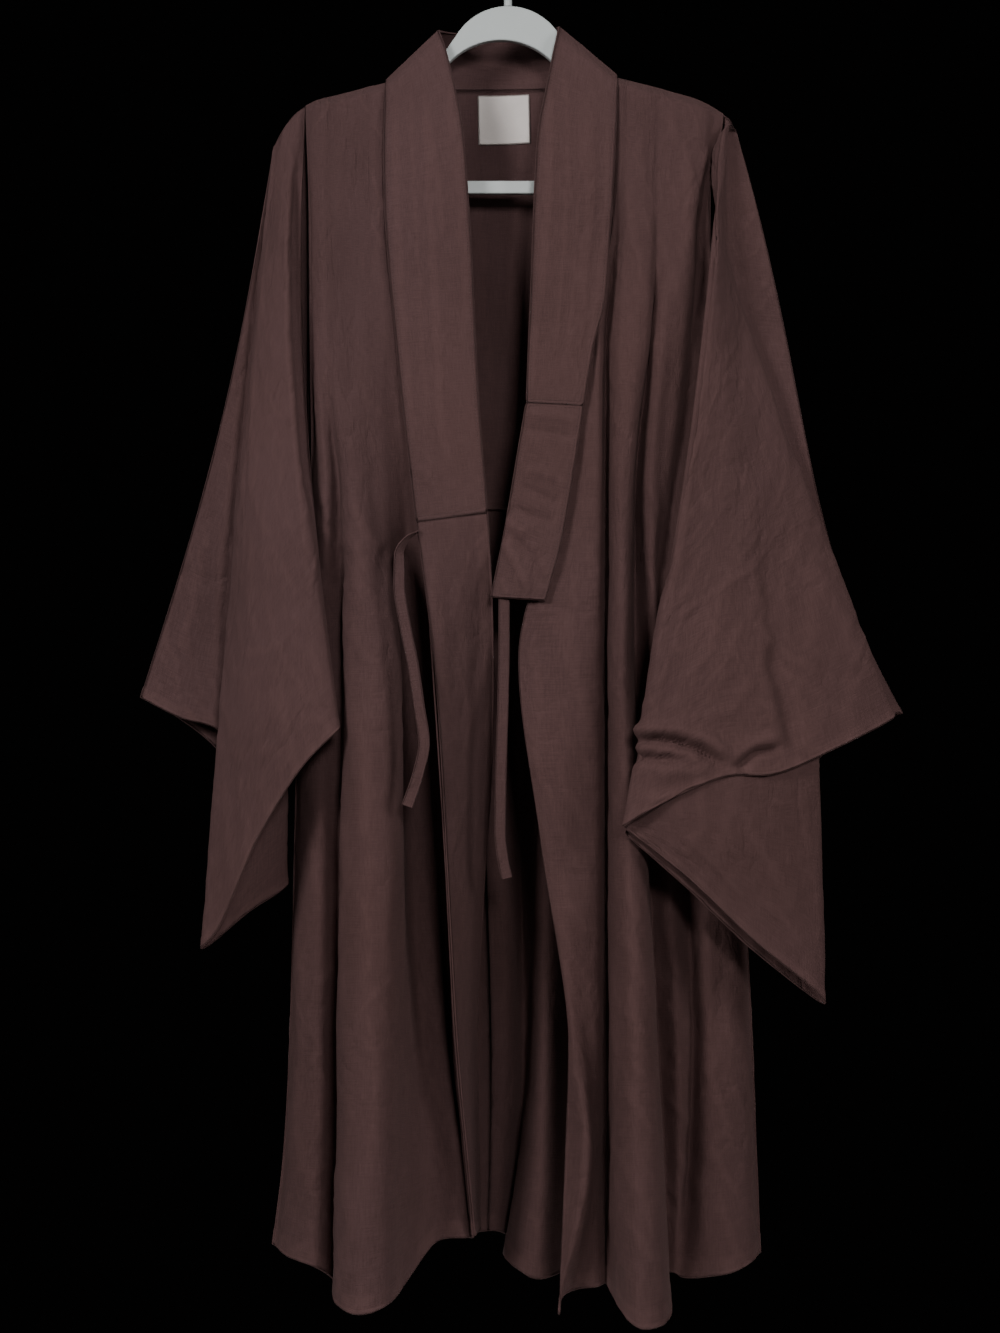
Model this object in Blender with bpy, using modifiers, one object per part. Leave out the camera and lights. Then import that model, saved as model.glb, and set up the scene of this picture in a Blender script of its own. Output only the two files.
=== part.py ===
"""Buddhist monk robe hung open on a one-piece plastic hanger.

Metres, +Z up, +X to the wearer's left, -Y towards the front. The origin is the inner top of
the hanger's hook, where the whole thing hangs.

Every table gives millimetres on the hanger's own plane (y = 0). fan() then carries a point to
its depth: the robe spreads away from its front about the middle of its height, so a point y
behind the hanger lies wider by y / FAN_REACH.
"""
from collections import namedtuple

import bpy
import numpy as np

MM = 0.001
FAN_REACH = 2.0
MIDDLE_Z = -0.7265
CLOTH = 0.0016
BAND = 0.0026
TIE = 0.0012
RIDGE_REACH = 0.008
LABEL_CLOTH = 0.001
YOKE_LIFT = 0.0031
LABEL_LIFT = 0.0022
BAND_BELLY = 1.5
STRIP_BELLY = 2.0

FOLD_STEPS = 2
BODY_ROWS = 17
YOKE_ROWS = 10
LABEL_ROWS = 5
FRONT_SLEEVE_ROWS = 12
BACK_SLEEVE_ROWS = 10
BAG_ROWS = 8

COLOURS = {
    "cloth": ((0.075, 0.045, 0.045, 1.0), 0.88),
    "label": ((0.72, 0.64, 0.60, 1.0), 0.8),
    "plastic": ((0.52, 0.55, 0.54, 1.0), 0.35),
}

# Levels of the body, in mm below the hook: chest, bust, waist, hip, thigh, knee, shin.
LEVELS = (-260, -400, -560, -720, -900, -1100, -1210)

# One row for each fold of the body. x and y run from the shoulder or neck through LEVELS to
# the hem; hem is the height of the fold's lower end.
Fold = namedtuple("Fold", "name x y hem")

RIGHT_FRONT = (
    Fold("seam", (-107, -109, -99.4, -79.4, -67.9, -55.9, -44.9, -34.9, -26.9), (-.9, -17, -26, -36, -49, -46, -29, -14, 1), -1297),
    Fold("gully floor", (-112.6, -113.6, -105, -84, -70, -58, -50, -39, -30), (-.9, -16.2, -24.6, -20, 36, 44, 44, 40, 36), -1297),
    Fold("apron edge", (-118, -118, -111, -93, -94, -84, -59, -42, -34), (-.9, -18, -24, -12, 32, 30, 12, 8, 7), -1297),
    Fold("apron", (-128, -127, -122, -104, -101, -94, -80, -70, -62), (-.9, -18, -24, -18, 10, 20, 8, 5, 4), -1300),
    Fold("lobe right", (-138, -138, -135, -124, -101, -99, -99, -98, -97), (-.9, -18, -26, -30, -40, -42, -46, -48, -50), -1346),
    Fold("lobe crown right", (-148, -148, -146, -136, -114, -113, -115, -116, -117), (-.9, -19, -27, -40, -60, -72, -84, -90, -92), -1367),
    Fold("lobe crown left", (-158, -158, -155, -149, -135, -136, -139, -141, -142), (-.9, -20, -29, -44, -64, -76, -90, -96, -100), -1374),
    Fold("lobe left", (-168, -168, -165, -157, -154, -157, -161, -162, -165), (-.9, -20, -30, -40, -46, -52, -60, -66, -74), -1362),
    Fold("valley", (-177, -177, -175, -162, -156, -161, -162, -163, -166), (-.9, -20, -30, -24, -16, -6, -6, -7, -10), -1340),
    Fold("side lobe", (-184, -184, -184, -174, -178, -180, -180, -182, -186), (-.9, -18, -28, -34, -20, -24, -28, -30, -32), -1326),
    Fold("side", (-189, -189, -188, -184, -196, -198, -202, -206, -212), (-.9, -14, -18, -20, 0, -2, -6, -8, -10), -1316),
    Fold("side seam", (-194, -191, -190, -188, -200, -204, -209, -215, -226), (-.9, -9, -9, -4, 21, 26, 26, 26, 26), -1304),
)

BACK = (
    Fold("side seam right", (-194, -191, -190, -189, -201, -205, -210, -216, -227), (.9, 9, 10, 10, 22.4, 27.4, 27.4, 27.4, 27.4), -1304),
    Fold("side fall right", (-182, -184, -184, -186, -198, -203, -208, -213, -222), (.9, 16, 20, 26, 42, 50, 54, 57, 60), -1302),
    Fold("corner right", (-164, -168, -169, -171, -181, -188, -194, -198, -203), (.9, 20, 28, 42, 62, 78, 87, 91, 95), -1298),
    Fold("lobe 1", (-144, -146, -147, -149, -155, -161, -167, -170, -173), (.9, 22, 32, 48, 74, 94, 106, 111, 115), -1296),
    Fold("valley 1", (-124, -126, -126, -127, -128, -130, -132, -133, -134), (.9, 22, 31, 41, 55, 65, 71, 74, 77), -1296),
    Fold("lobe 2", (-102, -104, -103, -102, -98, -94, -90, -89, -88), (10, 24, 34, 52, 78, 100, 112, 116, 119), -1294),
    Fold("flank 2", (-78, -80, -79, -78, -72, -66, -60, -58, -56), (29, 30, 37, 52, 74, 92, 102, 105, 108), -1293),
    Fold("inner ridge", (-50, -50, -49, -46, -40, -32, -24, -22, -20), (41, 38, 42, 56, 76, 86, 90, 94, 98), -1291),
    Fold("spine", (-20, -20, -20, -16, -8, 2, 6, 2, -5), (46, 42, 46, 58, 70, 76, 84, 90, 98), -1290),
    Fold("deep valley", (4, 4, 4, 8, 14, 20, 24, 19, 9), (47, 43, 50, 68, 92, 110, 122, 124, 124), -1297),
    Fold("nose left", (28, 26, 24, 24, 28, 34, 33, 22, 6), (45, 40, 50, 66, 88, 92, 80, 78, 76), -1317),
    Fold("nose", (44, 42, 38, 40, 44, 46, 45, 42, 36), (42, 36, 46, 60, 76, 66, 50, 46, 43), -1338),
    Fold("nose right", (60, 60, 56, 58, 66, 72, 70, 68, 64), (36, 31, 42, 58, 80, 86, 80, 76, 72), -1330),
    Fold("lobe 3", (84, 84, 82, 84, 92, 98, 100, 99, 98), (26, 26, 40, 62, 88, 102, 112, 116, 120), -1310),
    Fold("valley 3", (112, 112, 111, 112, 119, 125, 129, 130, 132), (5, 23, 34, 48, 66, 76, 84, 88, 91), -1306),
    Fold("lobe 4", (142, 142, 141, 142, 149, 157, 163, 166, 170), (.9, 22, 34, 54, 80, 97, 111, 116, 121), -1306),
    Fold("flank 4", (170, 170, 169, 170, 178, 189, 198, 202, 206), (.9, 21, 31, 45, 68, 83, 91, 95, 98), -1308),
    Fold("corner left", (198, 198, 196, 195, 204, 220, 230, 234, 238), (.9, 19, 27, 37, 54, 66, 77, 82, 87), -1310),
    Fold("side fall left", (216, 214, 212, 209, 214, 238, 250, 254, 258), (.9, 15, 19, 26, 38, 44, 50, 54, 57), -1312),
    Fold("side seam left", (226, 222, 220, 214, 215, 240, 252, 256, 260), (.9, 9, 10, 10, 22.4, 24.4, 26.4, 28.4, 30.4), -1312),
)

LEFT_FRONT = (
    Fold("side seam", (223, 210, 213, 211, 214, 239, 251, 255, 259), (-.9, -5, -6, -4, 21, 23, 25, 27, 29), -1312),
    Fold("side lobe outer", (214, 205, 206, 204, 205, 233, 245, 248, 250), (-.9, -10, -12, -14, -2, 0, 0, 0, 2), -1322),
    Fold("side lobe", (207, 200, 197, 191, 191, 219, 226, 228, 231), (-.9, -17, -20, -24, -20, -15, -16, -14, -12), -1332),
    Fold("side lobe inner", (197, 194, 186, 176, 176, 203, 207, 205, 200), (-.9, -19, -24, -32, -28, -18, -18, -18, -18), -1337),
    Fold("crumple valley", (184, 181, 173, 163, 165, 185, 193, 189, 181), (-.9, -20, -26, -34, -22, 4, 0, 0, -6), -1336),
    Fold("column", (172, 169, 161, 151, 156, 167, 177, 179, 175), (-.9, -21, -28, -38, -30, -24, -22, -12, -4), -1332),
    Fold("vee", (161, 158, 150, 135, 135, 147, 158, 164, 167), (-.9, -20, -16, -12, -12, -8, -5, -2, 0), -1332),
    Fold("front lobe right", (153, 151, 145, 131, 132, 145, 157, 163, 171), (-.9, -22, -32, -40, -44, -50, -57, -60, -62), -1372),
    Fold("front lobe crown", (144, 143, 138, 127, 128, 138, 147, 152, 160), (-.9, -24, -36, -48, -56, -72, -85, -91, -98), -1386),
    Fold("front lobe", (136, 135, 130, 121, 122, 128, 132, 135, 140), (-.9, -24, -36, -50, -60, -77, -91, -98, -106), -1388),
    Fold("slot right", (127, 126, 119, 114, 114, 115, 116, 116, 118), (-.9, -23, -33, -44, -52, -61, -69, -71, -74), -1366),
    Fold("slot", (123, 119, 106, 105, 105, 105, 106, 106, 106), (-.9, -20, -14, -12, -12, -14, -16, -18, -20), -1342),
    Fold("slot lip", (120, 116, 99, 98, 98, 98, 98, 98, 97), (-.9, -20, -31, -40, -41, -42, -40, -37, -34), -1346),
    Fold("facing", (118, 113, 96, 82, 66, 72, 86, 93, 78), (-.9, -18, -28, -42, -48, -50, -48, -52, -36), -1348),
    Fold("edge fold", (114, 110, 92, 71, 30, 48, 73, 87, 62), (-.9, -17, -27, -40, -48, -52, -56, -68, -60), -1358),
    Fold("free edge", (110, 106, 88, 61, 19, 41, 69, 66, 59), (-.9, -16, -25, -37, -46, -49, -54, -44, -66), -1374),
)

# Outline of the top edge, x and z: shoulders, and between them the neck seam.
TOP_LINE = ((-227, -212), (-212, -181), (-196, -167), (-184, -161), (-113, -143), (-98, -147.5), (-74, -151.5),
            (-40, -152), (2, -152), (44, -151.2), (76, -148.2), (100, -143.2), (116, -138), (160, -149), (200, -161),
            (222, -173), (235, -187))

# A strip of cloth by its two long edges: x, z, y of the outer edge, then of the inner edge.
Station = namedtuple("Station", "xo zo yo xi zi yi")
COLLAR_RIGHT = (
    Station(-113, -140, -1.3, -61.5, -91, -1.3), Station(-114, -151, -16, -57, -103, -13),
    Station(-115, -172, -20, -46, -146, -19),
    Station(-116, -212, -23, -38, -190, -26), Station(-115, -262, -25, -33, -250, -31),
    Station(-111, -322, -29, -29, -313, -35), Station(-107, -362, -32, -27, -357, -37),
    Station(-97, -462, -38, -22, -460, -41), Station(-83.5, -581, -45, -13, -571.5, -44),
)
STRIP_RIGHT = (
    Station(-83.4, -581.5, -45, -12.9, -572, -44), Station(-73, -660, -49, -8, -660, -24),
    Station(-64, -740, -51, -7, -740, -9), Station(-58, -830, -51, -9, -830, 3),
    Station(-52, -940, -46, -16, -940, 12), Station(-43, -1098, -31, -23, -1098, 32),
    Station(-33, -1210, -16, -21, -1210, 50), Station(-25, -1295, 0, -20, -1288, 68),
)
COLLAR_LEFT = (
    Station(116, -135, -1.3, 59, -87.5, -1.3), Station(116.5, -146, -17, 57, -98, -13),
    Station(116, -172, -20, 46, -152, -20),
    Station(114, -212, -23, 38, -198, -27), Station(109, -298, -30, 33, -305, -34),
    Station(104, -360, -34, 31, -360, -37), Station(93, -404, -37, 29, -406, -39),
    Station(83, -465, -41, 27, -462, -41),
)
COLLAR_LEFT_END = (
    Station(82.8, -465.4, -41, 26.8, -462.4, -41), Station(73, -530, -47, 17, -520, -44),
    Station(60, -604, -52, 6, -585, -46), Station(45, -659.5, -54, -8.4, -656.5, -48),
)
COLLAR_BACK = (
    Station(-113, -140, 1.3, -61.5, -91, 1.3), Station(-98, -145, 14, -57, -92, 18),
    Station(-74, -149, 32, -44, -94, 36), Station(-40, -150, 43, -24, -95, 47),
    Station(2, -150, 47, 0, -95, 52), Station(44, -149, 42, 25, -93, 47),
    Station(76, -146, 30, 43, -91, 36), Station(100, -141, 13, 55, -89, 18),
    Station(116, -135, 1.3, 59, -87.5, 1.3),
)

# A fold that falls almost straight from the shoulder: its top, its lower end, and how far its
# middle bows out of the straight line. lean under 1 lifts the widest place, over 1 lowers it.
Fall = namedtuple("Fall", "name x0 z0 y0 x1 z1 y1 bow_x bow_y lean")

SLEEVE_RIGHT_FRONT = (
    Fall("inner edge", -194.8, -167, -1.0, -161, -787, -60, -16, 6, .9),
    Fall("lip", -201, -172, -.8, -163, -790, -66, -21, -9, .75),
    Fall("face right", -209, -180, -1, -196, -824, -70, -20, -12, .8),
    Fall("face", -217, -190, -1.7, -238, -890, -66, -14, -12, .9),
    Fall("face left", -222, -199, -5, -283, -990, -50, -8, -8, 1),
    Fall("lower seam", -226, -207, -6, -298, -1008, -41, -4, -4, 1),
    Fall("lower seam back", -224, -205, -3.6, -290, -1004, -33, -2, -2, 1),
    Fall("tuck mid", -223, -203, -2.8, -252, -972, -22, 0, -2, 1),
    Fall("tuck", -222, -202, -1.8, -213, -944, -9, 2, -2, 1),
    Fall("tuck back", -223, -203, -.8, -218, -938, 0, 2, 0, 1),
    Fall("cuff inner", -224, -205, -.6, -250, -880, 4, 4, 0, 1),
    Fall("cuff mid", -225.5, -207, -.5, -277, -793, 0, 8, 0, 1),
    Fall("cuff outer", -226.5, -209, -.5, -322, -776, -1, 12, 0, 1),
    Fall("top fold", -227, -212, -1.2, -359, -757, 5.2, 14, 0, 1),
)
SLEEVE_RIGHT_BACK = (
    Fall("top fold", -227, -212, 1.1, -359, -757, 7.5, 14, 0, 1),
    Fall("cuff outer", -224, -204, 1.3, -325, -775, 20, 12, 5, 1),
    Fall("cuff mid", -219, -195, 1.1, -280, -812, 30, 8, 8, 1),
    Fall("cuff inner", -212, -183, 1, -246, -878, 40, 6, 8, 1),
    Fall("hang", -204, -174, 1, -230, -905, 44, 8, 4, 1),
    Fall("back edge", -194.8, -167, 1.0, -222, -895, 38, 10, -5, 1),
)
SLEEVE_LEFT_FRONT = (
    Fall("inner edge", 225.6, -177.6, -1.4, 230, -790, -24, 0, -12, .9),
    Fall("tuck", 226, -178, -2.4, 151, -838, -97, 5, -12, .8),
    Fall("left fold back", 226.4, -178.6, -2.6, 127, -880, -101, 5, -16, .9),
    Fall("left fold", 227, -179.2, -3.6, 123.5, -885.5, -105, 5, -18, 1),
    Fall("face left", 228, -180.4, -4.4, 132, -880, -110, 4, -20, 1),
    Fall("face 1", 229.6, -182, -4.4, 177, -855, -108, -3, -18, .6),
    Fall("face 2", 231, -184, -5, 228, -835.5, -100, -14, -18, .4),
    Fall("face 3", 232.6, -186, -5, 271, -834, -88, -20, -14, .4),
    Fall("face 4", 234, -188.4, -4.8, 320, -815, -62, -28, -10, .38),
    Fall("overlap", 235, -190, -4.2, 394, -776, -16, -42, -8, .45),
    Fall("overlap back", 235.5, -191, -2.8, 388, -775, -8, -40, -4, .55),
    Fall("sliver", 236, -192, -1.6, 396, -773, -2, -35, 0, .9),
    Fall("top fold", 237, -195, -.95, 402, -773, 1.2, -24, 0, 2),
)
SLEEVE_LEFT_BACK = (
    Fall("top fold", 237, -195, .95, 402, -773, 3.4, -24, 0, 2),
    Fall("cuff outer", 236, -192, 1.2, 357, -784, 20, -22, 5, 1.6),
    Fall("cuff mid", 234, -188, 1.2, 308, -832, 30, -18, 8, 1.3),
    Fall("hang", 231, -182, 1.1, 272, -900, 34, -14, 6, 1),
    Fall("back edge", 227.2, -178, 1.0, 251, -885, 26, -10, -4, 1),
)
# Pull of a sleeve's back edge to the body's side seam, down to the armhole's foot: place along
# the edge, then mm in x and in y.
SEAM_PULL_RIGHT = ((0, 0, 0), (.025, 0, 3.7), (.045, 0, 5.3), (.087, .5, 5.8), (.128, 1.3, 5.3), (.183, 1.8, 4.5),
                   (.265, 3.2, 3), (.334, 3.5, 1.2), (.389, 4.3, -.7), (.457, 6, -2.5), (.55, 3, -1.5), (.7, 0, 0),
                   (1, 0, 0))
SEAM_PULL_LEFT = ((0, 0, 0), (.012, 0, 4.5), (.031, -.5, 6.3), (.074, -2.2, 7), (.116, -2.5, 7), (.173, -3.3, 6.8),
                  (.257, -3.5, 5), (.328, -4.7, 4), (.385, -7.5, 3.3), (.456, -10.5, 2), (.55, -6, 1), (.7, 0, 0),
                  (1, 0, 0))
BAG_LEFT = (
    Fall("left end front", 130, -874, -93, 124.5, -887.5, -94, 0, 0, 1),
    Fall("front 1", 180, -851, -104.4, 186, -935, -93, 0, -3, 1),
    Fall("front 2", 250, -826, -90, 252, -998, -84, 0, -5, 1),
    Fall("seam front", 311, -806, -55, 319, -1054, -66, 0, -3, 1),
    Fall("lower seam", 318, -804, -50, 325, -1063, -61, 0, 0, 1),
    Fall("seam back", 311, -806, -45, 318, -1060, -56, 0, 3, 1),
    Fall("back 2", 250, -828, -68, 250, -1007, -70, 0, 5, 1),
    Fall("back 1", 180, -853, -82, 182, -943, -81, 0, 3, 1),
    Fall("left end back", 131, -877, -86, 125, -893, -86, 0, 0, 1),
)

# Route of a tie's middle line: x, z, y, and the angle of its flat side to the front, in degrees.
Route = namedtuple("Route", "x z y turn")
TIE_RIGHT = (
    Route(-82.7, -592, -46, 90), Route(-93, -599, -54, 70), Route(-101, -616, -63, 35), Route(-101, -645, -70, 10),
    Route(-95, -685, -74, 0), Route(-87, -725, -78, -10), Route(-81, -765, -80, -15),
    Route(-76, -803, -80, 10), Route(-81, -830, -82, 20), Route(-90, -858, -84, 10), Route(-93, -866, -84, 0),
)
TIE_LEFT = (
    Route(4, -652, -47.1, 0), Route(4, -700, -48, 0), Route(3, -760, -47, 6), Route(1, -830, -45, -4),
    Route(0, -890, -43, 4), Route(3, -920, -41, 14), Route(7, -938, -39, 8),
)
TIE_WIDTH = 10

LABEL_X = (-22, 29)
LABEL_Z = (-145.5, -194.5)
LABEL_TILT = 0.02
YOKE_FOLDS = (5, 13)
SPINE_COLUMN = 15
SEAM_SHARE = 0.0002
YOKE_HEM = -564

HANGER_HALF = 4.2
HANGER_ROUND = 1.2
ARCH_CENTRE = (8, -127.5)
ARCH_OUTER = 60.5
ARCH_INNER = (1, -172, 71)
BAR_Z = (-241.5, -255.5)
HOOK_INNER = 16
HOOK_WIRE = 3


def fan(x, z, y):
    """Carry points given in mm on the hanger's plane to their depth, in metres."""
    x, z, y = (np.asarray(v, float) * MM for v in (x, z, y))
    spread = 1 + y / FAN_REACH
    return np.stack([x * spread, y, MIDDLE_Z + (z - MIDDLE_Z) * spread], axis=-1)


def smooth(at, known_at, known):
    """Cubic curve through known values with limited slopes, so it never swings past them."""
    known_at, known = np.asarray(known_at, float), np.asarray(known, float)
    gap = np.diff(known_at)
    rise = np.diff(known, axis=0) / gap.reshape((-1,) + (1,) * (known.ndim - 1))
    slope = np.zeros_like(known)
    slope[0], slope[-1] = rise[0], rise[-1]
    same = rise[1:] * rise[:-1] > 0
    mean = 2 * rise[1:] * rise[:-1] / np.where(same, rise[1:] + rise[:-1], 1)
    slope[1:-1] = np.where(same, mean, 0)
    i = np.clip(np.searchsorted(known_at, at, side="right") - 1, 0, len(gap) - 1)
    shape = (-1,) + (1,) * (known.ndim - 1)
    t = ((at - known_at[i]) / gap[i]).reshape(shape)
    h = gap[i].reshape(shape)
    return (known[i] * (1 + 2 * t) * (1 - t) ** 2 + slope[i] * h * t * (1 - t) ** 2
            + known[i + 1] * t * t * (3 - 2 * t) + slope[i + 1] * h * t * t * (t - 1))


def across(columns, steps):
    """Spread fold lines (rows, folds, 3) into a surface with `steps` faces between folds."""
    rows, folds, _ = columns.shape
    padded = np.concatenate([2 * columns[:, :1] - columns[:, 1:2], columns,
                             2 * columns[:, -1:] - columns[:, -2:-1]], axis=1)
    span = np.linalg.norm(np.diff(padded, axis=1), axis=2) ** 0.5 + 1e-6
    parts = []
    for k in range(folds - 1):
        p0, p1, p2, p3 = (padded[:, k + j] for j in range(4))
        a, b, c = (span[:, k + j][:, None] for j in range(3))
        m1 = b * ((p1 - p0) / a - (p2 - p0) / (a + b) + (p2 - p1) / b)
        m2 = b * ((p2 - p1) / b - (p3 - p1) / (b + c) + (p3 - p2) / c)
        for t in np.arange(steps) / steps:
            parts.append(p1 * (1 + 2 * t) * (1 - t) ** 2 + m1 * t * (1 - t) ** 2
                         + p2 * t * t * (3 - 2 * t) + m2 * t * t * (t - 1))
    return np.stack(parts + [columns[:, -1]], axis=1)


def body_columns(folds, rows):
    """Fold lines of a body panel from its table: (rows, folds, 3) in metres."""
    level = np.array([0, 0.25] + list(range(1, len(LEVELS) + 2)), float)
    at = np.concatenate([[0, 0.12, 0.25, 0.5], np.linspace(0.8, level[-1], rows - 4)])
    top_x, top_z = np.array(TOP_LINE, float).T
    lines = []
    for fold in folds:
        top = np.interp(fold.x[0], top_x, top_z)
        z = np.array([top, top - RIDGE_REACH / MM] + list(LEVELS) + [fold.hem])
        x = np.array([fold.x[0], fold.x[0] * 0.97 + fold.x[1] * 0.03] + list(fold.x[1:]))
        y = np.array([fold.y[0], fold.y[0] * 0.3 + fold.y[1] * 0.7] + list(fold.y[1:]))
        lines.append(fan(smooth(at, level, x), smooth(at, level, z), smooth(at, level, y)))
    return np.stack(lines, axis=1)


def fall_columns(falls, rows, pull=()):
    """Fold lines that fall from the shoulder, from a table of Fall rows; pull moves the last one."""
    v = np.linspace(0, 1, rows) ** 1.15
    lines = []
    for f in falls:
        bow = np.sin(np.pi * v ** f.lean)
        x, z, y = (f.x0 + (f.x1 - f.x0) * v + f.bow_x * bow, f.z0 + (f.z1 - f.z0) * v,
                   f.y0 + (f.y1 - f.y0) * v + f.bow_y * bow)
        if pull and f is falls[-1]:
            at, in_x, in_y = np.array(pull, float).T
            x, y = x + smooth(v, at, in_x), y + smooth(v, at, in_y)
        lines.append(fan(x, z, y))
    return np.stack(lines, axis=1)


def strip_surface(stations, rows, columns, belly=0.0):
    """Surface between two long edges; belly bows its middle towards the front, in mm."""
    s = np.array(stations, float)
    at = np.linspace(0, len(s) - 1, rows)
    s = smooth(at, np.arange(len(s)), s)
    u = np.linspace(0, 1, columns)[None, :]
    edge = [s[:, k, None] * (1 - u) + s[:, k + 3, None] * u for k in range(3)]
    return fan(edge[0], edge[1], edge[2] - belly * np.sin(np.pi * u))


def moved_out(grid, distance):
    """Copy of a surface moved along its own normals."""
    along = np.gradient(grid, axis=1)
    down = np.gradient(grid, axis=0)
    normal = np.cross(along, down)
    normal /= np.linalg.norm(normal, axis=2, keepdims=True)
    return grid + normal * distance


def material(name):
    """Principled material for one of COLOURS, made once."""
    found = bpy.data.materials.get(name)
    if found:
        return found
    colour, roughness = COLOURS[name]
    made = bpy.data.materials.new(name)
    made.use_nodes = True
    shader = made.node_tree.nodes["Principled BSDF"]
    shader.inputs["Base Color"].default_value = colour
    shader.inputs["Roughness"].default_value = roughness
    made.diffuse_color = colour
    return made


def link(piece, look, robe):
    """Give an object its material and put it in the robe's collection."""
    piece.data.materials.append(material(look))
    robe.objects.link(piece)
    return piece


def wall(name, grid, thickness, robe, look="cloth"):
    """Closed wall of cloth round a surface, half its thickness to each side."""
    rows, columns, _ = grid.shape
    index = np.arange(rows * columns).reshape(rows, columns)
    faces = np.stack([index[:-1, :-1], index[1:, :-1], index[1:, 1:], index[:-1, 1:]], axis=-1).reshape(-1, 4)
    mesh = bpy.data.meshes.new(name)
    mesh.from_pydata(grid.reshape(-1, 3).tolist(), [], faces.tolist())
    piece = bpy.data.objects.new(name, mesh)
    shell = piece.modifiers.new("cloth", "SOLIDIFY")
    shell.thickness = thickness
    shell.offset = 0
    shell.use_even_offset = False
    mesh.shade_smooth()
    return link(piece, look, robe)


def outline_curve(name, outlines, half, rounding, robe):
    """Flat plastic piece from closed outlines in mm, x and z, with rounded edges."""
    curve = bpy.data.curves.new(name, "CURVE")
    curve.dimensions = "2D"
    curve.fill_mode = "BOTH"
    curve.extrude = (half - rounding) * MM
    curve.bevel_depth = rounding * MM
    curve.offset = -rounding * MM
    curve.bevel_resolution = 0
    for outline in outlines:
        spline = curve.splines.new("POLY")
        spline.points.add(len(outline) - 1)
        for point, (x, z) in zip(spline.points, outline):
            point.co = (x * MM, z * MM, 0, 1)
        spline.use_cyclic_u = True
    piece = bpy.data.objects.new(name, curve)
    piece.rotation_euler = (np.pi / 2, 0, 0)
    return link(piece, "plastic", robe)


def arc(centre_x, centre_z, radius, start, stop, steps):
    """Points of an arc in the hanger's plane; angles in degrees from +X towards +Z."""
    turn = np.radians(np.linspace(start, stop, steps))
    return list(zip(centre_x + radius * np.cos(turn), centre_z + radius * np.sin(turn)))


def build_hanger(robe):
    """Arch with arms and bar as one flat moulding, and the hook that rises from it."""
    lower = BAR_Z[1] + HANGER_ROUND
    arms_top = [(118, -145.3), (160, -153), (196, -164.5)]
    arms_left = [(-113, -151.8), (-66, -127)]
    outer = (arc(*ARCH_CENTRE, ARCH_OUTER, 150, 22, 15) + [(82, -135)] + arms_top
             + arc(190, -184, 20, 52, -60, 7) + arc(172, lower + 12, 12, -30, -90, 4)
             + arc(-160, lower + 12, 12, -90, -150, 4) + arc(-170, -187, 20, 240, 128, 7) + arms_left)
    inner = (arc(*ARCH_INNER, 42, 138, 11) + [(-64, -136), (-110, -164), (-168, -183)]
             + arc(-172, -193, 11, 110, 240, 6) + arc(-156, BAR_Z[0] + 8, 8, 210, 270, 4)
             + arc(168, BAR_Z[0] + 8, 8, 270, 330, 4) + arc(184, -190, 11, -60, 70, 6)
             + [(154, -172), (112, -160), (70, -136)])
    outline_curve("hanger_body", (outer, inner), HANGER_HALF, HANGER_ROUND, robe)
    ring = HOOK_INNER + HOOK_WIRE
    top = ARCH_CENTRE[1] + ARCH_OUTER
    path = arc(0, -HOOK_INNER, ring, 200, -20, 15) + [(14, -38), (9.5, -48), (8, -57), (8, top + .35)]
    curve = bpy.data.curves.new("hanger_hook", "CURVE")
    curve.dimensions = "3D"
    curve.bevel_depth = HOOK_WIRE * MM
    curve.bevel_resolution = 2
    curve.use_fill_caps = True
    spline = curve.splines.new("POLY")
    spline.points.add(len(path) - 1)
    for point, (x, z) in zip(spline.points, path):
        point.co = (x * MM, 0, z * MM, 1)
    for point in list(spline.points)[-2:]:
        point.radius = 1.35
    link(bpy.data.objects.new("hanger_hook", curve), "plastic", robe)


def lifted_patch(grid, x_range, z_range, lift, tilt, rows, columns):
    """Rectangle that lies `lift` in front of a panel, read from the panel's own points."""
    xs = np.linspace(*x_range, columns) * MM
    zs = np.linspace(*z_range, rows) * MM
    patch = np.zeros((rows, columns, 3))
    for i, z in enumerate(zs):
        for j, x in enumerate(xs):
            at_x = x - tilt * (z - zs[0])
            at_z = z + tilt * (x - xs[0])
            line = [[np.interp(at_x, row[:, 0], row[:, k]) for k in (1, 2)] for row in grid]
            depth, height = np.array(line).T
            patch[i, j] = at_x, np.interp(-at_z, -height, depth) - lift, at_z
    return patch


def ribbon(name, route, width, robe):
    """Flat tie along its route, turned about its own length as the route says."""
    r = smooth(np.linspace(0, len(route) - 1, 3 * len(route)), np.arange(len(route)), np.array(route, float))
    middle = fan(r[:, 0], r[:, 1], r[:, 2])
    along = np.gradient(middle, axis=0)
    along /= np.linalg.norm(along, axis=1, keepdims=True)
    side = np.cross(along, [0, -1.0, 0])
    side /= np.linalg.norm(side, axis=1, keepdims=True)
    out = np.cross(side, along)
    turn = np.radians(r[:, 3])[:, None]
    across_way = side * np.cos(turn) + out * np.sin(turn)
    u = np.linspace(-0.5, 0.5, 3) * width * MM
    wall(name, middle[:, None] + across_way[:, None] * u[None, :, None], TIE, robe)


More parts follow.
